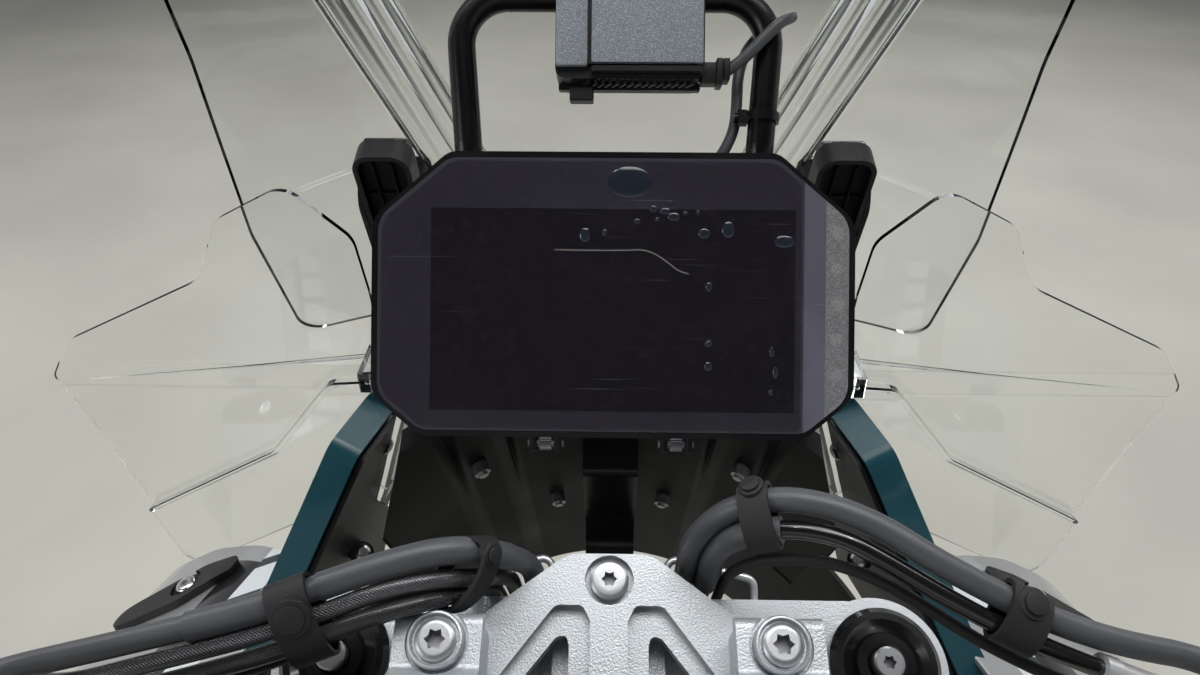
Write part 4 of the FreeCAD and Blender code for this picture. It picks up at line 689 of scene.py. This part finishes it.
SLEEVES = (
    # name, hose, start, end, radius, finish
    ("brake_ferrule", "brake_hose_jacket", 98, 140, 4.7, plated),
    ("brake_ferrule_lip", "brake_hose_jacket", 134, 143, 5.2, plated),
    ("brake_pipe", "brake_hose_jacket", 3, 100, 3.6, steel),
    ("clutch_ferrule", "clutch_hose_braid", 3, 28, 4.7, steel),
    ("brake_sleeve", "brake_hose_jacket", 254, 330, 4.9, sleeve),
    ("left_loom_cuff", "left_loom_sleeve", 176, 216, 5.4, sleeve),
    ("left_loom_tape", "left_loom_sleeve", 222, 296, 5, sleeve),
    ("left_cable_cuff", "left_cable_upper", 20, 60, 4.1, sleeve),
)
for name, hose, start, end, radius, finish in SLEEVES:
    show_curve(name, stretch(hose_lines[hose], start, end), radius, finish, "steering", "POLY")


# %% Ties round the bundles
def crossing(hose, point):
    """The hose's point nearest to this one, and its direction there."""
    line = hose_lines[hose]
    number = min(range(1, len(line) - 1), key=lambda index: (line[index] - point).length)
    return line[number], (line[number + 1] - line[number - 1]).normalized()


def thicken(mesh, wall):
    """Give a single skin this wall, in millimetres."""
    bmesh.ops.recalc_face_normals(mesh, faces=mesh.faces)
    bmesh.ops.solidify(mesh, geom=mesh.faces[:], thickness=wall * MM)


def oval_tube(matrix, halves, length, wall, segments):
    """An open tube along the matrix's Z, as wide and deep as twice the halves."""
    mesh = start_mesh()
    bmesh.ops.create_cone(
        mesh, cap_ends=False, segments=segments, radius1=1, radius2=1, depth=length,
        matrix=matrix @ Matrix.Diagonal((*halves, 1, 1)),
    )
    thicken(mesh, -wall)
    return mesh


def oval_band(name, across_at, length, wall, spare, strands):
    """A band round the strands, given as (hose, radius), where the first one is that far across."""
    first = min(hose_lines[strands[0][0]], key=lambda point: abs(point.x - across_at))
    found = [crossing(hose, first) for hose, _ in strands]
    centres = [centre for centre, _ in found]
    way = sum((direction for _, direction in found), Vector()).normalized()
    middle = (centres[0] + centres[-1]) / 2
    spread = centres[0] - centres[-1]
    wide = (spread - way * spread.dot(way)).normalized()
    deep = way.cross(wide)
    halves = []
    for axis in (wide, deep):
        edges = [(centre - middle).dot(axis) + radius * end
                 for centre, (_, radius) in zip(centres, strands) for end in (-1, 1)]
        middle = middle + axis * (min(edges) + max(edges)) / 2
        halves.append((max(edges) - min(edges)) / 2 + spare)
    turn = Matrix((wide, deep, way)).transposed().to_4x4()
    matrix = AT_REST @ Matrix.Translation(middle) @ turn
    band = finish_piece(name, oval_tube(matrix, halves, length, wall, 40), rubber, "steering")
    return band, matrix, halves


LEFT_CABLES = (("clutch_hose_braid", 3.3), ("left_cable_upper", 3.3), ("left_cable_lower", 2.9))
TIES = (
    # name, across, length, wall, spare, strands with the radius that each has there
    ("left_strap", -109, 14, 1.6, 0.7, (("left_loom_sleeve", 5.4), *LEFT_CABLES)),
    ("left_loop", -47, 8, 1.8, 1.4, (("left_loom_sleeve", 4.5), *LEFT_CABLES)),
    ("right_tie", 52, 11, 1.6, 0.8, (("right_loom_sleeve", 4.5), ("brake_hose_jacket", 4.9))),
    ("right_strap", 137, 14, 1.6, 0.8, (("right_loom_sleeve", 4.5), ("brake_hose_jacket", 3.3))),
)
ties = {name: oval_band(name, *sizes) for name, *sizes in TIES}
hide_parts("hose_clip_left")
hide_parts("hose_clip_right")
print("ties:", len(ties))


# %% The buttons that close the ties
EYE, LEAN_SHARE = Vector((0, -0.13, 0.4085)), 0.8


def strap_button(name, band, radius, height, share):
    """A round button on the band's side that faces the eye, that share of the way up it."""
    _, matrix, (half_wide, half_deep) = band
    side = 1 if (matrix.inverted() @ EYE).y > 0 else -1
    level = half_deep * math.sqrt(1 - share * share)
    lean = math.atan2(share * half_deep, half_wide * math.sqrt(1 - share * share)) * LEAN_SHARE
    seat = matrix @ shift(half_wide * share, side * level, 0) @ Matrix.Rotation(-side * lean, 4, "Z")
    seat = seat @ tilt("X", -90 * side)
    mesh = start_mesh()
    add_cylinder(mesh, seat, radius, -2, height, 36)
    add_cylinder(mesh, seat, radius * 0.72, height, height + 1.2, 36)
    soften(mesh, 0.5)
    finish_piece(name, mesh, rubber, "steering")


BUTTONS = (
    # tie, radius, height, share of the way up the tie's side
    ("left_strap", 6.8, 2.6, 0.42),
    ("left_loop", 4.2, 2.4, 0.93),
    ("right_tie", 4.6, 2.6, 0.93),
    ("right_strap", 5.4, 1.8, 0.62),
)
for name, *sizes in BUTTONS:
    strap_button(f"{name}_button", ties[name], *sizes)
print("buttons:", len(BUTTONS))

# %% [markdown]
# ## Star drives in the bolts
# Each bolt head has a round socket in the CAD model. The ring goes inside it.

# %% Star drives
NOSE_AHEAD, CAP_ACROSS, CAP_AHEAD = 57.5, 105, 30
nose_place = AT_HEAD @ shift(0, NOSE_AHEAD, 0)
cap_places = [AT_HEAD @ shift(side * CAP_ACROSS, CAP_AHEAD, 0) for _, side in SIDES]
STAR_DRIVES = (
    # name, places, ring and lobe radius, floor and top along the steering axis
    ("clamp_bolt_drives", clamp_places, CLAMP_DRIVE + 0.05, CLAMP_DRIVE - 1.2, 109.4, 114.4),
    ("nose_bolt_drive", [nose_place], 3.65, 3.1, 87.4, 91.5),
    ("fork_cap_drives", cap_places, 3.25, 2.7, 80.9, 84.2),
)
for name, *sizes in STAR_DRIVES:
    star_screws(name, *sizes, brushed, "steering")
print("drives:", len(clamp_places) + 3)


# %% Bolt heads in bright steel over the cast ones
def sweep_line(mesh, matrix, points, degrees, steps):
    """Turn the line through these points round the matrix's Z."""
    verts = [mesh.verts.new(point) for point in points]
    edges = [mesh.edges.new(pair) for pair in zip(verts, verts[1:])]
    bmesh.ops.spin(
        mesh, geom=verts + edges, cent=matrix.translation, axis=matrix.col[2].xyz.normalized(),
        angle=math.radians(degrees), steps=steps, use_merge=degrees == 360,
    )


def turned(mesh, matrix, profile, segments=48):
    """A shape of revolution from a line of (radius, height) points."""
    points = [matrix @ Vector((radius, 0, height)) for radius, height in profile]
    sweep_line(mesh, matrix, points, 360, segments)


rims, heads = start_mesh(), start_mesh()
for matrix in clamp_places:
    turned(rims, matrix, ((9.8, 107.6), (9.8, 113.4), (9.4, 114.2), (8.7, 114.4), (8.1, 112.05)))
    turned(heads, matrix, ((7.3, 112), (7.3, 113.4), (6.5, 114.1), (5.6, 114.4), (CLAMP_DRIVE, 114.4)))
turned(heads, nose_place, ((7.5, 86.2), (7.5, 90.6), (6.6, 91.3), (6, 91.5), (3.6, 91.5)))
finish_piece("bolt_rims", rims, blasted, "steering")
finish_piece("bolt_heads", heads, brushed, "steering")
cap_screws = start_mesh()
for matrix in cap_places:
    turned(cap_screws, matrix, ((5.75, 79.2), (5.75, 83.6), (5, 84.2), (3.2, 84.2)), 32)
finish_piece("fork_cap_screws", cap_screws, brushed, "steering")
print("bolt heads:", len(clamp_places) + 3)

# %% [markdown]
# ## The film on the display
# A new display still wears its protective film. It is a copy of the glass, pressed thin, cut
# along a straight line at its right edge and laid just above the glass. Air is caught under
# it: flat domes, from pinheads to one as large as a coin, and one fibre.

# %% The film, its bubbles and a fibre
def everything(mesh):
    return mesh.verts[:] + mesh.edges[:] + mesh.faces[:]


def cut_away(mesh, point, direction):
    """Cut a mesh at a plane, drop what lies in this direction, and close the cut."""
    cut = bmesh.ops.bisect_plane(
        mesh, geom=everything(mesh), plane_co=point, plane_no=direction, clear_outer=True
    )
    rim = [item for item in cut["geom_cut"] if isinstance(item, bmesh.types.BMEdge)]
    bmesh.ops.holes_fill(mesh, edges=rim, sides=0)


FILM_EDGE, FILM_LIFT, FILM_SHARE = 74.3, 0.32, (0.984, 0.975, 0.1)
film_mesh = start_mesh("display_glass")
pressed = AT_DISPLAY @ shift(0, 0, FILM_LIFT) @ Matrix.Diagonal((*FILM_SHARE, 1)) @ AT_DISPLAY.inverted()
bmesh.ops.transform(film_mesh, matrix=pressed, verts=film_mesh.verts)
cut_away(film_mesh, (FILM_EDGE * MM, 0, 0), (1, 0, 0))
finish_piece("display_film", film_mesh, film, smooth=False)

BUBBLES = (
    # across, up, half width, half height
    (6.5, 44.5, 9, 6.2), (45.5, 26, 2.4, 3.2), (36, 24.5, 2.2, 2), (67.5, 21.5, 4, 2.4),
    (-11, 23.5, 2, 2.8), (-3.2, 24.5, 0.9, 1.4), (15.9, 34, 1.4, 1.4), (20.5, 33.2, 1.8, 1.3),
    (24, 31, 2.4, 1.6), (28.6, 32.4, 0.9, 0.8), (17.6, 30, 0.8, 0.8), (9.6, 29.2, 1.2, 1),
    (33.5, 32.8, 0.7, 0.9), (22.5, 37, 0.5, 0.6), (38, 3.4, 1.2, 1.8), (38.2, -19, 1.3, 1.3),
    (38, -28, 1.5, 1.8), (63, -22, 0.9, 2), (64.5, -30, 1, 2.4), (62.8, -38, 0.8, 1.2),
)
bubbles = start_mesh()
for across_at, up_at, half_width, half_height in BUBBLES:
    rise = 0.12 + 0.14 * min(half_width, half_height) ** 0.6
    dome = shift(across_at, up_at, FILM_LIFT - 0.01) @ Matrix.Diagonal((half_width, half_height, rise, 1))
    bmesh.ops.create_uvsphere(bubbles, u_segments=20, v_segments=8, radius=1, matrix=AT_DISPLAY @ dome)
finish_piece("film_bubbles", bubbles, blister)
FIBRE = ((-23, 17.6, 0.5), (4, 17.4, 0.5), (14, 18.2, 0.6), (23, 12.2, 0.5), (26, 9.4, 0.5), (30, 8.6, 0.4))
FIBRE_RADIUS = 0.09
fibre_points = [(AT_DISPLAY @ Vector(point)) / MM for point in FIBRE]
show_curve("film_fibre", fibre_points, FIBRE_RADIUS, fibre)
print("bubbles:", len(BUBBLES))


# %% [markdown]
# ## Screws that hold the covers
# Small bright screws show below the display and on the side liners. Each is a turned head with
# a straight knurl: a cylinder of many sides, every second edge pulled in, and a star or hexagon
# drive on its face.

# %% Knurled and buttoned screws
def add_knurled(mesh, matrix, radius, low, high):
    """A head whose rim is a ring of fine teeth."""
    teeth, pulled_in = 24, 0.93
    verts = add_cylinder(mesh, matrix, radius, low, high, 2 * teeth)
    inverse = matrix.inverted()
    for vertex in verts:
        local = inverse @ vertex.co
        turn = round(math.atan2(local.y, local.x) / math.tau * 2 * teeth)
        if turn % 2:
            local.x *= pulled_in
            local.y *= pulled_in
            vertex.co = matrix @ local


def add_button(mesh, matrix, radius, rise, drive):
    """A low round head with a hollow for its drive."""
    add_cylinder(mesh, matrix, radius, 0, rise * 0.45)
    add_cylinder(mesh, matrix, radius, rise * 0.45, rise, top_radius=radius * 0.66)
    add_star_ring(mesh, matrix, radius * 0.62, drive, rise * 0.3, rise + 0.05)


EAR_ACROSS, EAR_HALF_GAP = 27.5, 5.2
display_screws, display_ears = start_mesh(), start_mesh()
for _, side in SIDES:
    lying = AT_DISPLAY @ shift(side * EAR_ACROSS, -61, -24) @ tilt("Y", 90)
    add_knurled(display_screws, lying, 3.9, -2.5, 2.5)
    add_cylinder(display_screws, lying, 2.4, -7.5, 7.5, 20)
    for apart in (-EAR_HALF_GAP, EAR_HALF_GAP):
        add_box(display_ears, AT_DISPLAY, (3.2, 15, 11), (side * EAR_ACROSS + apart, -57.5, -25))
soften(display_ears, 1.2)
finish_piece("display_screws", display_screws, brushed)
finish_piece("display_ears", display_ears, moulded)
print("display screws:", len(SIDES))

# %% The inner cover with its upper corners cut
CORNER_ACROSS, CORNER_UP, SLANT_ACROSS, SLANT_UP = 92, 76, 0.957, 0.29
cover = start_mesh("inner_cover")
for _, side in SIDES:
    slant = (AT_HEAD.to_3x3() @ Vector((side * SLANT_ACROSS, 0, SLANT_UP))).normalized()
    cut_away(cover, AT_HEAD @ Vector((side * CORNER_ACROSS, 0, CORNER_UP)), slant)
# The cover takes the darker black, which paints the shade behind the fork.
cover_piece = finish_piece("cover_shield", cover, deep)
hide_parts("inner_cover")
print("cover faces:", len(cover_piece.data.polygons))

# %% Dark rubber flaps that paint the shade beside the inner cover, and its screws
COVER_RADIUS = 146
FLAPS = (
    # lowest and highest on the steering axis, first angle and sweep in degrees
    (-210, -88, 33, 26),
    (-205, -22, 48, 15),
)
# The flaps are dark sheets beside the cover's lower corners, where only shade is seen: they are painted
# shade that keeps the pale floor from showing through.
flaps = start_mesh()
for _, side in SIDES:
    for low_at, high_at, first_angle, sweep in FLAPS:
        upright = AT_HEAD @ tilt("Z", -first_angle * side) @ shift(0, COVER_RADIUS + 1.5, 0)
        ends = [upright @ Vector((0, 0, at)) for at in (low_at, high_at)]
        sweep_line(flaps, AT_HEAD, ends, -sweep * side, 10)
thicken(flaps, 2)
finish_piece("cover_shade_flaps", flaps, rubber)

cover_screws = start_mesh()
for angle, up_at in ((-12.5, -62), (12.5, -62), (-27, 20), (27, 20)):
    seat = AT_HEAD @ tilt("Z", -angle) @ shift(0, COVER_RADIUS, up_at) @ tilt("X", 90)
    add_knurled(cover_screws, seat, 4.2, -0.5, 5.5)
    add_cylinder(cover_screws, seat, 2.6, 5.5, 7, 6)
finish_piece("cover_screws", cover_screws, plated)
print("flaps:", len(FLAPS) * len(SIDES))

# %% Lugs and screws on the liners, trims and screen
LUG_PLACE, LUG_AXIS = (142.9, 184, 35), (-0.4, -0.55, 0.73)
LINER_FACE = -2.8
lugs, liner_screws = start_mesh(), start_mesh()
for _, side in SIDES:
    seat = on_side(facing(LUG_PLACE, LUG_AXIS), side)
    add_cylinder(lugs, seat, 6.8, -2.5, 2.5)
    add_button(liner_screws, seat @ shift(0, 0, 2.5), 4.4, 2.4, 2.1)
    for along_at, up_at in ((20, -34), (103, 70)):
        seat = on_side(AT_PANEL @ shift(along_at, up_at, LINER_FACE), side)
        add_button(liner_screws, seat @ tilt("X", 180), 4.6, 2.4, 2.2)
soften(lugs, 1)
finish_piece("liner_lugs", lugs, moulded)
finish_piece("liner_screws", liner_screws, steel, smooth=False)

TRIM_SCREW = (246.9, 175, 16.1)
trim_places = [on_side(facing(TRIM_SCREW, (0.3, 0, 1)), side) for _, side in SIDES]
trim_heads = start_mesh()
for matrix in trim_places:
    turned(trim_heads, matrix, ((6.1, -2.2), (6.1, 0.2), (5.4, 1.2), (4.4, 1.6), (3, 1.6)), 32)
finish_piece("trim_screws", trim_heads, steel)
star_screws("trim_drives", trim_places, 3.05, 2.6, -1.2, 1.6, steel)

screen_screws = start_mesh()
for _, side in SIDES:
    seat = AT_REST @ own_axes(SCREEN_FOOT, (1, 0, 0), screen_up)
    add_button(screen_screws, seat @ shift(side * 115, 112, -41.5) @ tilt("X", 180), 6, 3.2, 2.8)
finish_piece("screen_screws", screen_screws, anodised, "screen_carrier", smooth=False)
print("screws on each side: 3 in the liner, 1 in the trim, 1 in the screen's arm")

# %% [markdown]
# ## Folds in the clear sheets
# Between the screen's raised middle and each wing the sheet is drawn over two close folds,
# and the draw leaves fine ripples that work as lenses and show as a bundle of bright streaks.
# They are one strip with a rippled front, stretched between the folds. A slender tapered ridge
# lies along the deflector's level crease.

# %% The rippled strips and the ridges
def join_loops(mesh, near, far):
    """Faces between two closed loops that have as many vertices as each other."""
    for number in range(len(near)):
        mesh.faces.new((near[number], far[number], far[number - 1], near[number - 1]))


INNER_FOLD = (Vector((-67, 360.5, 175.5)), Vector((-170, 267, 461)))
OUTER_FOLD = (Vector((-86, 336.5, 152)), Vector((-182, 249, 421)))
RIPPLES = 40
towards_rider = (INNER_FOLD[1] - INNER_FOLD[0]).cross(OUTER_FOLD[0] - INNER_FOLD[0]).normalized()
if towards_rider.y > 0:
    towards_rider = -towards_rider
outline = []
for number in range(RIPPLES + 1):
    share = number / RIPPLES
    from_edge = min(share, 1 - share)
    ripple = 0.7 * math.sin(share * 19 + 0.6) + 0.45 * math.sin(share * 47)
    outline.append((share, 1.6 + ripple + 2.6 * math.exp(-from_edge * 14)))
outline += [(1, -1.5), (0, -1.5)]
folds = start_mesh()
loops = [
    [folds.verts.new((inner.lerp(outer, share) + towards_rider * height) * MM) for share, height in outline]
    for inner, outer in zip(INNER_FOLD, OUTER_FOLD)
]
join_loops(folds, *loops)
for loop in loops:
    folds.faces.new(loop)
bmesh.ops.mirror(folds, geom=everything(folds), axis="X", merge_dist=-1)
finish_piece("screen_folds", folds, clear, "screen_carrier")
RIDGE_TIP, RIDGE_ROOT = Vector((-296, 233.2, 122)), Vector((-128, 226, 146))
ridges = start_mesh()
bmesh.ops.create_cone(
    ridges, cap_ends=True, segments=16, radius1=0.2, radius2=1.3, depth=(RIDGE_ROOT - RIDGE_TIP).length,
    matrix=facing((RIDGE_TIP + RIDGE_ROOT) / 2, RIDGE_ROOT - RIDGE_TIP),
)
bmesh.ops.mirror(ridges, geom=everything(ridges), axis="X", merge_dist=-1)
finish_piece("deflector_ridges", ridges, clear)
print("ripples across each strip:", RIPPLES)

# %% [markdown]
# ## The screen arms' hoods
# The upper end of each screen arm is a hollow moulding, open towards the rider, with a thick
# round-topped rim and thin ribs inside. The CAD's arm is the plain box behind it, so the rim
# is a closed ring round that box's face, and the hollow is a floor with ribs in a darker black,
# which is painted shade.

# %% Rim, floor and ribs
HOOD_FOOT, HOOD_TOP, HOOD_HALF, HOOD_CORNER, HOOD_WALL = 84, 179, 13.8, 9, 2.4
ARM_ACROSS, ARM_FACE = 109.5, -26
HOOD_RIM = (
    # inset from the outline, place out of the screen
    (0, ARM_FACE + 8.5),
    (0, ARM_FACE - 4.5),
    (HOOD_WALL, ARM_FACE - 4.5),
    (HOOD_WALL, ARM_FACE - 0.4),
)


def hood_outline(inset):
    """Points up the screen and across it, for a round-topped outline set in by this much."""
    half, corner, centre = HOOD_HALF - inset, HOOD_CORNER - inset, HOOD_HALF - HOOD_CORNER
    points = []
    for side, angles in ((1, range(0, 91, 15)), (-1, range(90, 181, 15))):
        for angle in angles:
            turn = math.radians(angle)
            up_by = HOOD_TOP - HOOD_CORNER + corner * math.sin(turn)
            points.append((up_by, side * centre + corner * math.cos(turn)))
    foot = HOOD_FOOT + inset
    return points + [(foot, -half), (foot, half)]


def hood_loop(mesh, side, inset, out_by):
    """The outline's vertices on one arm, this far out of the screen."""
    return [
        mesh.verts.new(AT_SCREEN @ Vector((up_by, out_by, side * ARM_ACROSS + across_by)))
        for up_by, across_by in hood_outline(inset)
    ]


hoods, hollows = start_mesh(), start_mesh()
for _, side in SIDES:
    loops = [hood_loop(hoods, side, inset, out_by) for inset, out_by in HOOD_RIM]
    for near, far in zip(loops, loops[1:] + loops[:1]):
        join_loops(hoods, near, far)
    hollows.faces.new(hood_loop(hollows, side, HOOD_WALL, ARM_FACE - 0.5))
    for across_by in (-4.5, 4.5):
        add_box(hollows, AT_SCREEN, (86, 2.6, 0.9), (130, ARM_FACE - 1.4, side * ARM_ACROSS + across_by))
    for up_by in (100, 118, 136, 154):
        add_box(hollows, AT_SCREEN, (0.9, 1.8, 20), (up_by, ARM_FACE - 1.1, side * ARM_ACROSS))
soften(hoods, 0.6)
finish_piece("arm_hoods", hoods, moulded, "screen_carrier")
# The floor and ribs take the darker black, which paints the shade in the hollow.
finish_piece("arm_hollows", hollows, deep, "screen_carrier", smooth=False)
print("hoods:", len(SIDES))

# %% [markdown]
# ## The navigation holder
# The holder's lid is grained and set into a smooth border. Below it runs a ledge with a ribbed
# edge and a small latch, and a connector on the right takes the lead, which goes round the bar
# and down beside its right leg, where a tie with a square lock holds it.

# %% Lid, ledge, latch and connector
lid = start_mesh()
add_box(lid, AT_HOLDER, (14.5, 57, 3.4), (-26.4, 33.5, 1.7))
add_box(lid, AT_HOLDER, (51, 56, 3), (7.8, 34.5, 1.5))
soften(lid, 1.1)
finish_piece("holder_lid", lid, coarse)
ledge = start_mesh()
add_box(ledge, AT_HOLDER, (50, 3, 5), (7.5, 3.6, 1.2))
add_box(ledge, AT_HOLDER, (66, 3.2, 5), (0, -0.6, -12))
for number in range(15):
    rib = AT_HOLDER @ shift(-20 + number * 3.4, 0.3, -5) @ tilt("Y", 28)
    add_box(ledge, rib, (1.7, 4.2, 7), (0, 0, 0))
add_box(ledge, AT_HOLDER, (11, 6.4, 7), (-22, -5.6, -7))
soften(ledge, 0.5, 1)
finish_piece("holder_ledge", ledge, moulded)
plug = start_mesh()
add_box(plug, AT_HOLDER, (7.5, 9.5, 8), (36.5, 3.6, -5))
add_box(plug, AT_HOLDER, (3, 12, 10.5), (41, 4, -5))
add_box(plug, AT_HOLDER, (3, 10, 9), (44.2, 5.2, -5))
soften(plug, 0.6)
finish_piece("holder_plug", plug, moulded)

# %% The lead round the bar
LEAD = (
    # in the holder's own axes: across, up, out
    (44.5, 5.2, -5), (51, 9.5, -4.2), (58.5, 17, -3.3), (66, 25, -3.2), (73, 31, -6.5), (77, 34, -14),
    (73, 35, -22), (65, 31, -24.5), (56.5, 22, -24), (52, 8, -21), (51.5, -6, -19), (50.5, -17, -18),
    (47, -26, -17), (42.5, -33, -17.5), (39.5, -42, -19), (38.5, -56, -22),
)
LEAD_RADIUS = 2.7
lead_points = [(AT_HOLDER @ Vector(point)) / MM for point in LEAD]
show_curve("holder_lead", lead_points, LEAD_RADIUS, sleeve)

# %% The tie on the bar's leg
LEG_FOOT, LEG_TOP = Vector((68, 234, 256)), Vector((74, 278, 318))
TIE_UP, TIE_RADIUS, TIE_WIDE, TIE_WALL = 0.26, 6.7, 4.4, 1.2
leg_point = LEG_FOOT.lerp(LEG_TOP, TIE_UP)
tie = oval_tube(facing(leg_point, LEG_TOP - LEG_FOOT), (TIE_RADIUS, TIE_RADIUS), TIE_WIDE, TIE_WALL, 32)
sideways = facing(leg_point, (-1, 0, 0))
add_cylinder(tie, sideways, 3.9, 7.2, 11.6, 6)
add_cylinder(tie, sideways, 2.2, 11.6, 13.4, 12)
finish_piece("leg_tie", tie, smooth_case)
print("leg tie at", [round(value) for value in leg_point])

# %% [markdown]
# ## The backdrop
# A wide pale floor lets the clear sheets show their edges. It is stage, not part of the object.
# The light is a studio's: a soft lamp above, a long tube on each side, one lamp in front and
# one on the rider's side. Two small hard lamps give metal its highlights. The sky is pale below
# and dark above, so that black parts have something to reflect and keep their tone.

# %% The floor
low, high = cad_box
floor_z = low[2] - 0.001
backdrop = start_mesh()
bmesh.ops.create_grid(backdrop, x_segments=1, y_segments=1, size=6, matrix=shift(0, 0, floor_z))
data = bpy.data.meshes.new("floor")
backdrop.to_mesh(data)
backdrop.free()
floor = put_in_scene("floor", data)
paper = Finish("pale_floor", (0.5, 0.49, 0.43), 0.7)
patch = paper.step(paper.noise(3, 6), 0.35, 0.7)
paper.feed("Base Color", paper.mix(patch, (0.47, 0.46, 0.41), (0.55, 0.54, 0.48)))
data.materials.append(paper.material)
print("floor at", round(floor_z, 3))

# %% Lamps and sky
LAMPS = (
    # name, place, width, length, watts
    ("overhead", (0.2, 0.2, 2.2), 1.3, 1.3, 19),
    ("left_tube", (-1.1, 0.6, 1.9), 0.3, 2.6, 17),
    ("right_tube", (1.2, 0.5, 1.9), 0.3, 2.6, 16),
    ("front", (0.5, 2.6, 1.5), 1.6, 0.9, 22),
    ("left_spark", (-0.5, -0.15, 1.9), 0.08, 0.08, 1.3),
    ("right_spark", (0.7, 0.2, 1.9), 0.08, 0.08, 1.3),
    ("rider_side", (-2.3, -1.2, 1.3), 0.9, 0.9, 16),
)
for name, place, width, length, watts in LAMPS:
    lamp = bpy.data.lights.new(name, "AREA")
    lamp.shape = "RECTANGLE"
    lamp.size = width
    lamp.size_y = length
    lamp.energy = watts
    holder = put_in_scene(name, lamp)
    holder.location = place
    holder.rotation_euler = (Vector((0, 0.1, 0.1)) - Vector(place)).to_track_quat("-Z", "Y").to_euler()
world = bpy.data.worlds.new("studio")
bpy.context.scene.world = world
world.use_nodes = True
make, join = world.node_tree.nodes.new, world.node_tree.links.new
ways, height, fade, shade = (
    make(f"ShaderNode{kind}") for kind in ("TexCoord", "SeparateXYZ", "MapRange", "Mix")
)
shade.data_type = "RGBA"
shade.inputs[6].default_value = (0.6, 0.61, 0.63, 1)
shade.inputs[7].default_value = (0.05, 0.05, 0.055, 1)
fade.inputs["From Min"].default_value = 0.1
fade.inputs["From Max"].default_value = 0.5
join(ways.outputs["Generated"], height.inputs[0])
join(height.outputs["Z"], fade.inputs["Value"])
join(fade.outputs["Result"], shade.inputs[0])
join(shade.outputs[2], world.node_tree.nodes["Background"].inputs["Color"])
bpy.context.scene.view_settings.view_transform = "Standard"
print("lamps:", len(LAMPS))

# %% [markdown]
# ## The camera
# The photographer holds a phone above the seat and looks down at the display: just behind
# the handlebar, tilted down by 35 degrees, with the wide lens of a phone.

# %% The camera
LOOK_DOWN, TURN_LEFT, LENS = 35, 1, 24.6
camera_data = bpy.data.cameras.new("camera")
camera_data.lens = LENS
camera_data.sensor_width = 36
camera_data.clip_start = 0.01
camera = put_in_scene("camera", camera_data)
camera.location = EYE
camera.rotation_euler = (math.radians(90 - LOOK_DOWN), 0, math.radians(TURN_LEFT))
bpy.context.scene.camera = camera
print("camera at", [round(value, 3) for value in EYE])
